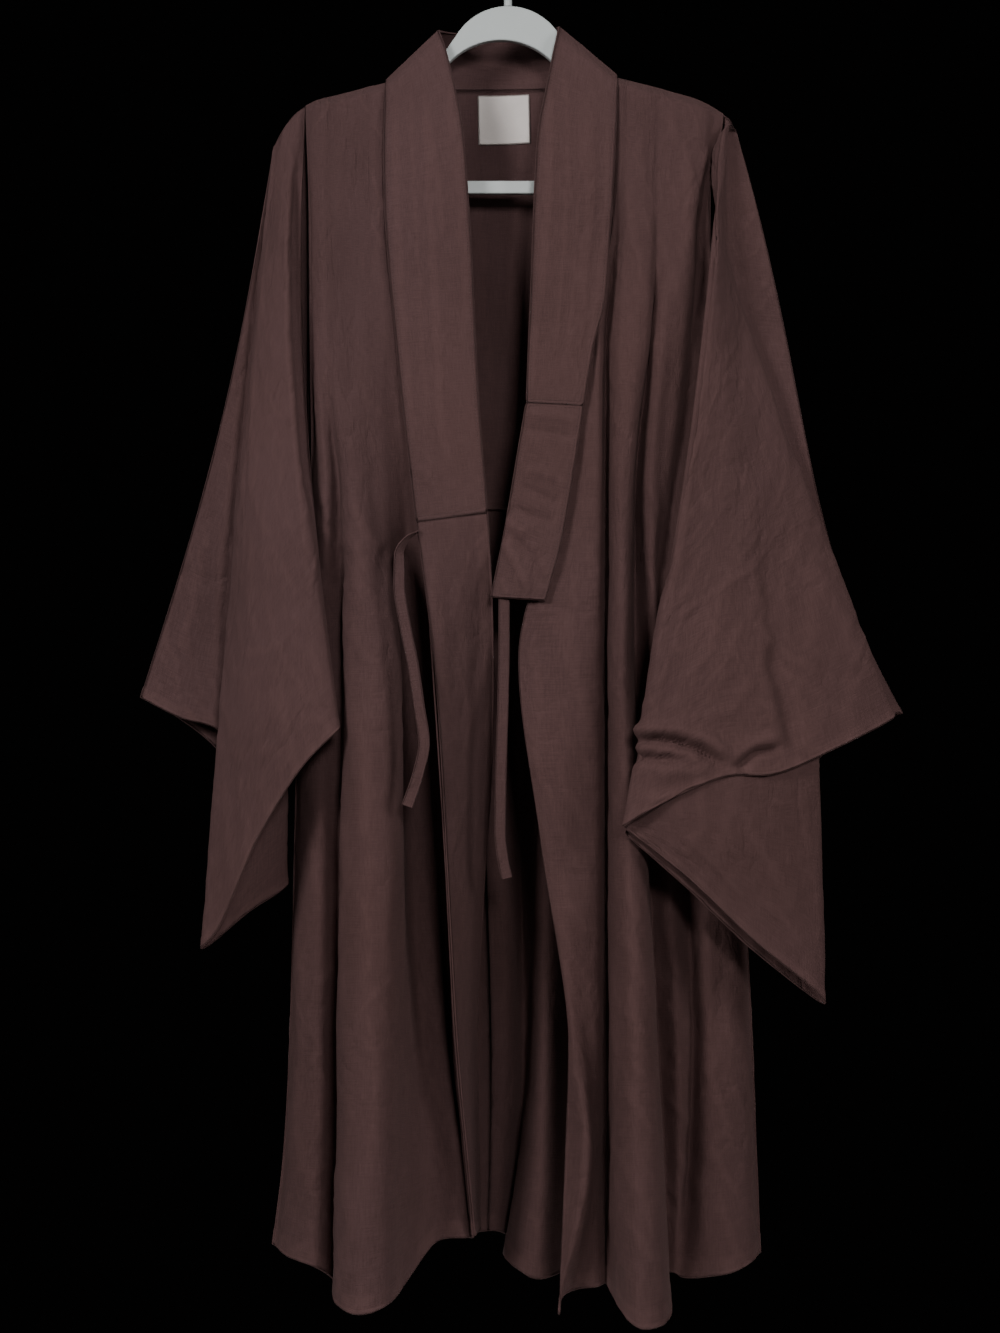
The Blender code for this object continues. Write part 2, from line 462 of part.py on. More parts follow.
def build_body(robe):
    """Back and front panels, the inner yoke and the label that lie on the back."""
    back = across(body_columns(BACK, BODY_ROWS), FOLD_STEPS)
    right, left = back[:, :SPINE_COLUMN + 1].copy(), back[:, SPINE_COLUMN:].copy()
    for half, edge, beside in ((right, -1, -2), (left, 0, 1)):
        inwards = half[:, beside] - half[:, edge]
        half[:, edge] += inwards / np.linalg.norm(inwards, axis=1, keepdims=True) * SEAM_SHARE
    wall("back_panel_right", right, CLOTH, robe)
    wall("back_panel_left", left, CLOTH, robe)
    wall("front_panel_right", across(body_columns(RIGHT_FRONT, BODY_ROWS), FOLD_STEPS), CLOTH, robe)
    wall("front_panel_left", across(body_columns(LEFT_FRONT, BODY_ROWS), FOLD_STEPS), CLOTH, robe)
    first, last = YOKE_FOLDS
    part = back[:, FOLD_STEPS * first:FOLD_STEPS * last + 1]
    z = part[:, part.shape[1] // 2, 2]
    rows = np.interp(np.linspace(-z[2], -YOKE_HEM * MM, YOKE_ROWS), -z, np.arange(len(z)))
    low = np.floor(rows).astype(int)
    share = (rows - low)[:, None, None]
    yoke = moved_out(part, -YOKE_LIFT)
    yoke = yoke[low] * (1 - share) + yoke[low + 1] * share
    wall("back_yoke", yoke, CLOTH, robe)
    label = lifted_patch(yoke, LABEL_X, LABEL_Z, LABEL_LIFT, LABEL_TILT, LABEL_ROWS, LABEL_ROWS)
    wall("label", label, LABEL_CLOTH, robe, "label")


def build_collar(robe):
    """Standing back collar, the two folded bands and the strip below the right one."""
    wall("collar_back", strip_surface(COLLAR_BACK, 17, 4), BAND, robe)
    wall("collar_band_right", strip_surface(COLLAR_RIGHT, 15, 5, BAND_BELLY), BAND, robe)
    wall("front_strip_right", strip_surface(STRIP_RIGHT, 17, 5, STRIP_BELLY), CLOTH, robe)
    wall("collar_band_left", strip_surface(COLLAR_LEFT, 13, 5, BAND_BELLY), BAND, robe)
    wall("collar_end_left", strip_surface(COLLAR_LEFT_END, 7, 5, BAND_BELLY), BAND, robe)


def build_sleeves(robe):
    """Sleeves as they hang: each a front and a back stretch, the left one with its lower bag."""
    wall("sleeve_right_front", across(fall_columns(SLEEVE_RIGHT_FRONT, FRONT_SLEEVE_ROWS), FOLD_STEPS), CLOTH, robe)
    for name, falls, pull in (("sleeve_right_back", SLEEVE_RIGHT_BACK, SEAM_PULL_RIGHT),
                              ("sleeve_left_back", SLEEVE_LEFT_BACK, SEAM_PULL_LEFT)):
        wall(name, across(fall_columns(falls, BACK_SLEEVE_ROWS, pull), FOLD_STEPS), CLOTH, robe)
    wall("sleeve_left_front", across(fall_columns(SLEEVE_LEFT_FRONT, FRONT_SLEEVE_ROWS), FOLD_STEPS), CLOTH, robe)
    wall("sleeve_left_bag", across(fall_columns(BAG_LEFT, BAG_ROWS), FOLD_STEPS), CLOTH, robe)


def main():
    """Clear the scene and build the robe on its hanger."""
    for old in list(bpy.data.objects):
        bpy.data.objects.remove(old)
    robe = bpy.data.collections.new("monk_robe_on_hanger")
    bpy.context.scene.collection.children.link(robe)
    build_hanger(robe)
    build_body(robe)
    build_collar(robe)
    build_sleeves(robe)
    ribbon("tie_right", TIE_RIGHT, TIE_WIDTH, robe)
    ribbon("tie_left", TIE_LEFT, TIE_WIDTH, robe)


main()
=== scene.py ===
"""Looks of an open monk's robe that hangs on a one-piece plastic hanger.

Every cloth piece is a fine closed shell on the form of its solid: fold lines from the tables
below are spread into a surface, creases and puckers move it along its own normals, and the
shell gets its thickness, a rounded rim and thicker hems. Tables give millimetres on the
hanger's plane; fan() carries them to their depth.
"""

import logging
from dataclasses import dataclass
from enum import Enum
from typing import NamedTuple, Optional, Sequence

import bpy
import numpy as np
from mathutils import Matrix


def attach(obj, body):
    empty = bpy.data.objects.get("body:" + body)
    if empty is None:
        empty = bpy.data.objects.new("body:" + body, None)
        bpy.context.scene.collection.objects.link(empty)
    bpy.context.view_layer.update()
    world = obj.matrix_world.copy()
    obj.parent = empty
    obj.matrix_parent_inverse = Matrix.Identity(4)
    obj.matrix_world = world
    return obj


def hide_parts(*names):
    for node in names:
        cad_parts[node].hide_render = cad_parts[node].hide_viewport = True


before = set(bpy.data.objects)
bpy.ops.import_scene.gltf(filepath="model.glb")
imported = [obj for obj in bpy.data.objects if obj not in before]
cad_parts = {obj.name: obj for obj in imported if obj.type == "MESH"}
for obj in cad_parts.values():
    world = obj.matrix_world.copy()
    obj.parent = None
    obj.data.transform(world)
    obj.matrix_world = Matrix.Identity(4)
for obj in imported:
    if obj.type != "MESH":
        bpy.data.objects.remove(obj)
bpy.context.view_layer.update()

LOG = logging.getLogger("robe")
MM = 0.001
# Points behind the hanger's plane lie wider about (0, MIDDLE_Z) by their depth over FAN_REACH.
FAN_REACH = 2.0
MIDDLE_Z = -0.7265
# How far below its ridge a shoulder has turned down; heights at which a body fold's row is given.
RIDGE_REACH = 8.0
LEVELS = (-260, -400, -560, -720, -900, -1100, -1210)


class Fold(NamedTuple):
    """A fold line of the body: x and y at the top, at each of LEVELS and at the hem, and the hem's height."""

    name: str
    x: tuple
    y: tuple
    hem: float


class Fall(NamedTuple):
    """A fold line of a sleeve: its top, its lower end, and how its middle bows out of the straight."""

    name: str
    x0: float
    z0: float
    y0: float
    x1: float
    z1: float
    y1: float
    bow_x: float
    bow_y: float
    lean: float


class Station(NamedTuple):
    """A place along a strip: x, z, y of its outer edge and of its inner edge."""

    xo: float
    zo: float
    yo: float
    xi: float
    zi: float
    yi: float


class Route(NamedTuple):
    """A place along a tie's middle line, and the angle of its flat side to the front in degrees."""

    x: float
    z: float
    y: float
    turn: float


class Crease(NamedTuple):
    """A crease laid on a piece: its path, its height out of the cloth (a trough is negative), its
    half widths on the left and right of the path, and the fold lines between which it acts."""

    path: tuple
    height: float
    left: float
    right: float
    first: float = -1.0
    last: float = 99.0


RIGHT_FRONT = (
    Fold("seam", (-107, -109, -99.4, -79.4, -67.9, -55.9, -44.9, -34.9, -26.9),
         (-.9, -17, -26, -36, -49, -46, -29, -14, 1), -1297),
    Fold("gully floor", (-112.6, -113.6, -105, -84, -70, -58, -50, -39, -30),
         (-.9, -16.2, -24.6, -20, 36, 44, 44, 40, 36), -1297),
    Fold("apron edge", (-118, -118, -111, -93, -94, -84, -59, -42, -34),
         (-.9, -18, -24, -12, 32, 30, 12, 8, 7), -1297),
    Fold("apron", (-128, -127, -122, -104, -101, -94, -80, -70, -62),
         (-.9, -18, -24, -18, 10, 20, 8, 5, 4), -1300),
    Fold("lobe right", (-138, -138, -135, -124, -101, -99, -99, -98, -97),
         (-.9, -18, -26, -30, -40, -42, -46, -48, -50), -1346),
    Fold("lobe crown right", (-148, -148, -146, -136, -114, -113, -115, -116, -117),
         (-.9, -19, -27, -40, -60, -72, -84, -90, -92), -1367),
    Fold("lobe crown left", (-158, -158, -155, -149, -135, -136, -139, -141, -142),
         (-.9, -20, -29, -44, -64, -76, -90, -96, -100), -1374),
    Fold("lobe left", (-168, -168, -165, -157, -154, -157, -161, -162, -165),
         (-.9, -20, -30, -40, -46, -52, -60, -66, -74), -1362),
    Fold("valley", (-177, -177, -175, -162, -156, -161, -162, -163, -166),
         (-.9, -20, -30, -24, -16, -6, -6, -7, -10), -1340),
    Fold("side lobe", (-184, -184, -184, -174, -178, -180, -180, -182, -186),
         (-.9, -18, -28, -34, -20, -24, -28, -30, -32), -1326),
    Fold("side", (-189, -189, -188, -184, -196, -198, -202, -206, -212),
         (-.9, -14, -18, -20, 0, -2, -6, -8, -10), -1316),
    Fold("side seam", (-194, -191, -190, -188, -200, -204, -209, -215, -226),
         (-.9, -9, -9, -4, 21, 26, 26, 26, 26), -1304),
)

BACK = (
    Fold("side seam right", (-194, -191, -190, -189, -201, -205, -210, -216, -227),
         (.9, 9, 10, 10, 22.4, 27.4, 27.4, 27.4, 27.4), -1304),
    Fold("side fall right", (-182, -184, -184, -186, -198, -203, -208, -213, -222),
         (.9, 16, 20, 26, 42, 50, 54, 57, 60), -1302),
    Fold("corner right", (-164, -168, -169, -171, -181, -188, -194, -198, -203),
         (.9, 20, 28, 42, 62, 78, 87, 91, 95), -1298),
    Fold("lobe 1", (-144, -146, -147, -149, -155, -161, -167, -170, -173),
         (.9, 22, 32, 48, 74, 94, 106, 111, 115), -1296),
    Fold("valley 1", (-124, -126, -126, -127, -128, -130, -132, -133, -134),
         (.9, 22, 31, 41, 55, 65, 71, 74, 77), -1296),
    Fold("lobe 2", (-102, -104, -103, -102, -98, -94, -90, -89, -88),
         (10, 24, 34, 52, 78, 100, 112, 116, 119), -1294),
    Fold("flank 2", (-78, -80, -79, -78, -72, -66, -60, -58, -56),
         (29, 30, 37, 52, 74, 92, 102, 105, 108), -1293),
    Fold("inner ridge", (-50, -50, -49, -46, -40, -32, -24, -22, -20),
         (41, 38, 42, 56, 76, 86, 90, 94, 98), -1291),
    Fold("spine", (-20, -20, -20, -16, -8, 2, 6, 2, -5), (46, 42, 46, 58, 70, 76, 84, 90, 98), -1290),
    Fold("deep valley", (4, 4, 4, 8, 14, 20, 24, 19, 9), (47, 43, 50, 68, 92, 110, 122, 124, 124), -1297),
    Fold("nose left", (28, 26, 24, 24, 28, 34, 33, 22, 6), (45, 40, 50, 66, 88, 92, 80, 78, 76), -1317),
    Fold("nose", (44, 42, 38, 40, 44, 46, 45, 42, 36), (42, 36, 46, 60, 76, 66, 50, 46, 43), -1338),
    Fold("nose right", (60, 60, 56, 58, 66, 72, 70, 68, 64), (36, 31, 42, 58, 80, 86, 80, 76, 72), -1330),
    Fold("lobe 3", (84, 84, 82, 84, 92, 98, 100, 99, 98), (26, 26, 40, 62, 88, 102, 112, 116, 120), -1310),
    Fold("valley 3", (112, 112, 111, 112, 119, 125, 129, 130, 132),
         (5, 23, 34, 48, 66, 76, 84, 88, 91), -1306),
    Fold("lobe 4", (142, 142, 141, 142, 149, 157, 163, 166, 170),
         (.9, 22, 34, 54, 80, 97, 111, 116, 121), -1306),
    Fold("flank 4", (170, 170, 169, 170, 178, 189, 198, 202, 206),
         (.9, 21, 31, 45, 68, 83, 91, 95, 98), -1308),
    Fold("corner left", (198, 198, 196, 195, 204, 220, 230, 234, 238),
         (.9, 19, 27, 37, 54, 66, 77, 82, 87), -1310),
    Fold("side fall left", (216, 214, 212, 209, 214, 238, 250, 254, 258),
         (.9, 15, 19, 26, 38, 44, 50, 54, 57), -1312),
    Fold("side seam left", (226, 222, 220, 214, 215, 240, 252, 256, 260),
         (.9, 9, 10, 10, 22.4, 24.4, 26.4, 28.4, 30.4), -1312),
)

LEFT_FRONT = (
    Fold("side seam", (223, 210, 213, 211, 214, 239, 251, 255, 259),
         (-.9, -5, -6, -4, 21, 23, 25, 27, 29), -1312),
    Fold("side lobe outer", (214, 205, 206, 204, 205, 233, 245, 248, 250),
         (-.9, -10, -12, -14, -2, 0, 0, 0, 2), -1322),
    Fold("side lobe", (207, 200, 197, 191, 191, 219, 226, 228, 231),
         (-.9, -17, -20, -24, -20, -15, -16, -14, -12), -1332),
    Fold("side lobe inner", (197, 194, 186, 176, 176, 203, 207, 205, 200),
         (-.9, -19, -24, -32, -28, -18, -18, -18, -18), -1337),
    Fold("crumple valley", (184, 181, 173, 163, 165, 185, 193, 189, 181),
         (-.9, -20, -26, -34, -22, 4, 0, 0, -6), -1336),
    Fold("column", (172, 169, 161, 151, 156, 167, 177, 179, 175),
         (-.9, -21, -28, -38, -30, -24, -22, -12, -4), -1332),
    Fold("vee", (161, 158, 150, 135, 135, 147, 158, 164, 167),
         (-.9, -20, -16, -12, -12, -8, -5, -2, 0), -1332),
    Fold("front lobe right", (153, 151, 145, 131, 132, 145, 157, 163, 171),
         (-.9, -22, -32, -40, -44, -50, -57, -60, -62), -1372),
    Fold("front lobe crown", (144, 143, 138, 127, 128, 138, 147, 152, 160),
         (-.9, -24, -36, -48, -56, -72, -85, -91, -98), -1386),
    Fold("front lobe", (136, 135, 130, 121, 122, 128, 132, 135, 140),
         (-.9, -24, -36, -50, -60, -77, -91, -98, -106), -1388),
    Fold("slot right", (127, 126, 119, 114, 114, 115, 116, 116, 118),
         (-.9, -23, -33, -44, -52, -61, -69, -71, -74), -1366),
    Fold("slot", (123, 119, 106, 105, 105, 105, 106, 106, 106),
         (-.9, -20, -14, -12, -12, -14, -16, -18, -20), -1342),
    Fold("slot lip", (120, 116, 99, 98, 98, 98, 98, 98, 97),
         (-.9, -20, -31, -40, -41, -42, -40, -37, -34), -1346),
    Fold("facing", (118, 113, 96, 82, 66, 72, 86, 93, 78),
         (-.9, -18, -28, -42, -48, -50, -48, -52, -36), -1348),
    Fold("edge fold", (114, 110, 92, 71, 30, 48, 73, 87, 62),
         (-.9, -17, -27, -40, -48, -52, -56, -68, -60), -1358),
    Fold("free edge", (110, 106, 88, 61, 19, 41, 69, 66, 59),
         (-.9, -16, -25, -37, -46, -49, -54, -44, -66), -1374),
)

# Outline of the top edge, x and z: shoulders, and between them the neck seam.
TOP_LINE = ((-227, -212), (-212, -181), (-196, -167), (-184, -161), (-113, -143), (-98, -147.5),
            (-74, -151.5), (-40, -152), (2, -152), (44, -151.2), (76, -148.2), (100, -143.2), (116, -138),
            (160, -149), (200, -161), (222, -173), (235, -187))

COLLAR_RIGHT = (
    Station(-113, -140, -1.3, -61.5, -91, -1.3), Station(-114, -151, -16, -57, -103, -13),
    Station(-115, -172, -20, -46, -146, -19),
    Station(-116, -212, -23, -38, -190, -26), Station(-115, -262, -25, -33, -250, -31),
    Station(-111, -322, -29, -29, -313, -35), Station(-107, -362, -32, -27, -357, -37),
    Station(-97, -462, -38, -22, -460, -41), Station(-83.5, -581, -45, -13, -571.5, -44),
)
STRIP_RIGHT = (
    Station(-83.4, -581.5, -45, -12.9, -572, -44), Station(-73, -660, -49, -8, -660, -24),
    Station(-64, -740, -51, -7, -740, -9), Station(-58, -830, -51, -9, -830, 3),
    Station(-52, -940, -46, -16, -940, 12), Station(-43, -1098, -31, -23, -1098, 32),
    Station(-33, -1210, -16, -21, -1210, 50), Station(-25, -1295, 0, -20, -1288, 68),
)
COLLAR_LEFT = (
    Station(116, -135, -1.3, 59, -87.5, -1.3), Station(116.5, -146, -17, 57, -98, -13),
    Station(116, -172, -20, 46, -152, -20),
    Station(114, -212, -23, 38, -198, -27), Station(109, -298, -30, 33, -305, -34),
    Station(104, -360, -34, 31, -360, -37), Station(93, -404, -37, 29, -406, -39),
    Station(83, -465, -41, 27, -462, -41),
)
COLLAR_LEFT_END = (
    Station(82.8, -465.4, -41, 26.8, -462.4, -41), Station(73, -530, -47, 17, -520, -44),
    Station(60, -604, -52, 6, -585, -46), Station(45, -659.5, -54, -8.4, -656.5, -48),
)
COLLAR_BACK = (
    Station(-113, -140, 1.3, -61.5, -91, 1.3), Station(-98, -145, 14, -57, -92, 18),
    Station(-74, -149, 32, -44, -94, 36), Station(-40, -150, 43, -24, -95, 47),
    Station(2, -150, 47, 0, -95, 52), Station(44, -149, 42, 25, -93, 47),
    Station(76, -146, 30, 43, -91, 36), Station(100, -141, 13, 55, -89, 18),
    Station(116, -135, 1.3, 59, -87.5, 1.3),
)

SLEEVE_RIGHT_FRONT = (
    Fall("inner edge", -194.8, -167, -1.0, -161, -787, -60, -16, 6, .9),
    Fall("lip", -201, -172, -.8, -163, -790, -66, -21, -9, .75),
    Fall("face right", -209, -180, -1, -196, -824, -70, -20, -12, .8),
    Fall("face", -217, -190, -1.7, -238, -890, -66, -14, -12, .9),
    Fall("face left", -222, -199, -5, -283, -990, -50, -8, -8, 1),
    Fall("lower seam", -226, -207, -6, -298, -1008, -41, -4, -4, 1),
    Fall("lower seam back", -224, -205, -3.6, -290, -1004, -33, -2, -2, 1),
    Fall("tuck mid", -223, -203, -2.8, -252, -972, -22, 0, -2, 1),
    Fall("tuck", -222, -202, -1.8, -213, -944, -9, 2, -2, 1),
    Fall("tuck back", -223, -203, -.8, -218, -938, 0, 2, 0, 1),
    Fall("cuff inner", -224, -205, -.6, -250, -880, 4, 4, 0, 1),
    Fall("cuff mid", -225.5, -207, -.5, -277, -793, 0, 8, 0, 1),
    Fall("cuff outer", -226.5, -209, -.5, -322, -776, -1, 12, 0, 1),
    Fall("top fold", -227, -212, -1.2, -359, -757, 5.2, 14, 0, 1),
)
SLEEVE_RIGHT_BACK = (
    Fall("top fold", -227, -212, 1.1, -359, -757, 7.5, 14, 0, 1),
    Fall("cuff outer", -224, -204, 1.3, -325, -775, 20, 12, 5, 1),
    Fall("cuff mid", -219, -195, 1.1, -280, -812, 30, 8, 8, 1),
    Fall("cuff inner", -212, -183, 1, -246, -878, 40, 6, 8, 1),
    Fall("hang", -204, -174, 1, -230, -905, 44, 8, 4, 1),
    Fall("back edge", -194.8, -167, 1.0, -222, -895, 38, 10, -5, 1),
)
SLEEVE_LEFT_FRONT = (
    Fall("inner edge", 225.6, -177.6, -1.4, 230, -790, -24, 0, -12, .9),
    Fall("tuck", 226, -178, -2.4, 151, -838, -97, 5, -12, .8),
    Fall("left fold back", 226.4, -178.6, -2.6, 127, -880, -101, 5, -16, .9),
    Fall("left fold", 227, -179.2, -3.6, 123.5, -885.5, -105, 5, -18, 1),
    Fall("face left", 228, -180.4, -4.4, 132, -880, -110, 4, -20, 1),
    Fall("face 1", 229.6, -182, -4.4, 177, -855, -108, -3, -18, .6),
    Fall("face 2", 231, -184, -5, 228, -835.5, -100, -14, -18, .4),
    Fall("face 3", 232.6, -186, -5, 271, -834, -88, -20, -14, .4),
    Fall("face 4", 234, -188.4, -4.8, 320, -815, -62, -28, -10, .38),
    Fall("overlap", 235, -190, -4.2, 394, -776, -16, -42, -8, .45),
    Fall("overlap back", 235.5, -191, -2.8, 388, -775, -8, -40, -4, .55),
    Fall("sliver", 236, -192, -1.6, 396, -773, -2, -35, 0, .9),
    Fall("top fold", 237, -195, -.95, 402, -773, 1.2, -24, 0, 2),
)
SLEEVE_LEFT_BACK = (
    Fall("top fold", 237, -195, .95, 402, -773, 3.4, -24, 0, 2),
    Fall("cuff outer", 236, -192, 1.2, 357, -784, 20, -22, 5, 1.6),
    Fall("cuff mid", 234, -188, 1.2, 308, -832, 30, -18, 8, 1.3),
    Fall("hang", 231, -182, 1.1, 272, -900, 34, -14, 6, 1),
    Fall("back edge", 227.2, -178, 1.0, 251, -885, 26, -10, -4, 1),
)
# Pull of a sleeve's back edge to the body's side seam, down to the armhole's foot: place along
# the edge, then mm in x and in y.
SEAM_PULL_RIGHT = ((0, 0, 0), (.025, 0, 3.7), (.045, 0, 5.3), (.087, .5, 5.8), (.128, 1.3, 5.3),
                   (.183, 1.8, 4.5), (.265, 3.2, 3), (.334, 3.5, 1.2), (.389, 4.3, -.7), (.457, 6, -2.5),
                   (.55, 3, -1.5), (.7, 0, 0), (1, 0, 0))
SEAM_PULL_LEFT = ((0, 0, 0), (.012, 0, 4.5), (.031, -.5, 6.3), (.074, -2.2, 7), (.116, -2.5, 7),
                  (.173, -3.3, 6.8), (.257, -3.5, 5), (.328, -4.7, 4), (.385, -7.5, 3.3), (.456, -10.5, 2),
                  (.55, -6, 1), (.7, 0, 0), (1, 0, 0))
BAG_LEFT = (
    Fall("left end front", 130, -874, -93, 124.5, -887.5, -94, 0, 0, 1),
    Fall("front 1", 180, -851, -104.4, 186, -935, -93, 0, -3, 1),
    Fall("front 2", 250, -826, -90, 252, -998, -84, 0, -5, 1),
    Fall("seam front", 311, -806, -55, 319, -1054, -66, 0, -3, 1),
    Fall("lower seam", 318, -804, -50, 325, -1063, -61, 0, 0, 1),
    Fall("seam back", 311, -806, -45, 318, -1060, -56, 0, 3, 1),
    Fall("back 2", 250, -828, -68, 250, -1007, -70, 0, 5, 1),
    Fall("back 1", 180, -853, -82, 182, -943, -81, 0, 3, 1),
    Fall("left end back", 131, -877, -86, 125, -893, -86, 0, 0, 1),
)

TIE_RIGHT = (
    Route(-82.7, -592, -46, 90), Route(-93, -599, -54, 70), Route(-101, -616, -63, 35),
    Route(-101, -645, -70, 10), Route(-95, -685, -74, 0), Route(-87, -725, -78, -10),
    Route(-81, -765, -80, -15), Route(-76, -803, -80, 10), Route(-81, -830, -82, 20),
    Route(-90, -858, -84, 10), Route(-93, -866, -84, 0),
)
TIE_LEFT = (
    Route(4, -652, -47.1, 0), Route(4, -700, -48, 0), Route(3, -760, -47, 6), Route(1, -830, -45, -4),
    Route(0, -890, -43, 4), Route(3, -920, -41, 14), Route(7, -938, -39, 8),
)
TIE_WIDTH = 10

LABEL_X = (-22, 29)
LABEL_Z = (-145.5, -194.5)
LABEL_TILT = 0.02

YOKE_FOLDS = (5, 13)
SPINE_FOLD = 7.5
SEAM_SHARE = 0.0002
YOKE_HEM = -564
YOKE_LIFT = 0.0031
LABEL_LIFT = 0.0022
BAND_BELLY = 1.5
STRIP_BELLY = 2.0
ARMS_TOP = ((118, -145.3), (160, -153), (196, -164.5))
ARMS_LEFT = ((-113, -151.8), (-66, -127))

# Creases of each piece, in millimetres on the hanger's plane. The first ones lie beside the
# armholes and run on both the body and the sleeve.
ARMHOLE_RIGHT = Crease(((-191, -230), (-191, -330), (-190, -430), (-188, -540)), -4, 6, 3, 9, 12)
ARMHOLE_LEFT = (
    Crease(((216, -196), (210, -240), (208, -300), (202, -360), (195, -420), (187, -490), (172, -580),
            (154, -680)), -11, 10, 8, -1, 4.6),
    Crease(((207, -205), (203, -240), (206, -280)), 3, 4, 4, 0, 4),
)
BACK_CREASES = (
    Crease(((-26, -270), (-20, -360), (-22, -460), (-18, -560)), 2, 9, 9),
    Crease(((-8, -310), (-10, -390), (-2, -480)), -1.5, 7, 8),
    Crease(((-14, -390), (0, -410), (14, -420)), 0.8, 4, 5),
    Crease(((10, -290), (6, -380), (12, -490)), 1.4, 8, 8),
    Crease(((-16, -620), (-14, -720), (-18, -820)), 1.2, 7, 7),
    Crease(((40, -960), (30, -1040), (24, -1120)), 1.6, 8, 8),
    Crease(((20, -1100), (28, -1150), (44, -1180)), 1, 5, 6),
    Crease(((10, -1180), (24, -1210), (44, -1230)), 1, 6, 6),
    Crease(((12, -1250), (30, -1270), (46, -1300)), 0.9, 6, 6),
    Crease(((-20, -960), (-26, -1060), (-18, -1180)), 1.4, 8, 8),
    Crease(((-80, -320), (-76, -480), (-84, -620)), 2.2, 16, 14),
    Crease(((-114, -360), (-112, -540), (-120, -760)), -2, 16, 16),
    Crease(((-150, -400), (-144, -580), (-154, -780)), 1.8, 14, 16),
    Crease(((-170, -620), (-150, -700), (-144, -800)), 1.2, 8, 9),
    Crease(((-60, -660), (-50, -780), (-54, -920)), 1.6, 12, 12),
    Crease(((-90, -880), (-70, -960), (-66, -1060)), 1.2, 8, 8),
    Crease(((-140, -920), (-128, -1020), (-134, -1140)), 1.4, 9, 9),
    Crease(((-180, -960), (-168, -1060), (-174, -1200)), -1.2, 9, 9),
    Crease(((-108, -1120), (-90, -1180), (-86, -1260)), 1.1, 7, 8),
    Crease(((-160, -1200), (-144, -1250), (-138, -1300)), 1, 7, 7),
    Crease(((80, -320), (76, -480), (84, -660)), 2, 16, 14),
    Crease(((120, -360), (116, -540), (124, -740)), -1.8, 14, 16),
    Crease(((164, -380), (158, -560), (168, -760)), 1.8, 14, 14),
    Crease(((100, -680), (116, -760), (120, -860)), 1.2, 8, 9),
    Crease(((140, -820), (152, -920), (146, -1040)), 1.4, 9, 10),
    Crease(((190, -860), (200, -980), (194, -1120)), -1.4, 10, 10),
    Crease(((112, -1020), (128, -1100), (132, -1200)), 1.2, 8, 8),
    Crease(((160, -1140), (178, -1210), (182, -1290)), 1.1, 8, 8),
    Crease(((212, -1060), (222, -1160), (218, -1260)), 1.2, 8, 8),
    Crease(((88, -1160), (100, -1220), (104, -1300)), 1, 7, 7),
)
RIGHT_CREASES = (
    ARMHOLE_RIGHT,
    Crease(((-138, -160), (-142, -280), (-148, -400), (-154, -500)), -2.6, 16, 12),
    Crease(((-116, -210), (-118, -320), (-112, -440)), 1.6, 9, 10),
    Crease(((-170, -240), (-172, -360), (-170, -480)), 1.8, 12, 14),
    Crease(((-160, -500), (-162, -580), (-158, -660)), -1.8, 7, 10),
    Crease(((-148, -560), (-138, -590), (-118, -616)), 1.2, 5, 6),
    Crease(((-134, -540), (-140, -620), (-148, -700), (-148, -760)), 1.4, 10, 10),
    Crease(((-182, -620), (-184, -740), (-178, -860)), -1.4, 8, 8),
    Crease(((-148, -760), (-138, -840), (-140, -920)), 1.1, 9, 9),
    Crease(((-156, -880), (-148, -940), (-128, -990)), 0.9, 5, 6),
    Crease(((-120, -760), (-116, -860), (-122, -960), (-118, -1060)), -1.2, 9, 9),
    Crease(((-158, -1020), (-148, -1120), (-152, -1220)), 1.1, 9, 9),
    Crease(((-134, -1060), (-124, -1140), (-130, -1240)), 1, 7, 8),
    Crease(((-164, -1220), (-150, -1270), (-138, -1320)), 0.9, 6, 8),
    Crease(((-200, -960), (-196, -1060), (-202, -1180), (-196, -1280)), 1.2, 8, 8),
    Crease(((-86, -960), (-82, -1060), (-76, -1160)), 1.2, 8, 8, 2, 5),
    Crease(((-92, -1020), (-80, -1050), (-64, -1070)), 0.8, 5, 5, 2, 5),
    Crease(((-80, -1150), (-68, -1200), (-48, -1240)), 0.9, 6, 6, 2, 5),
)
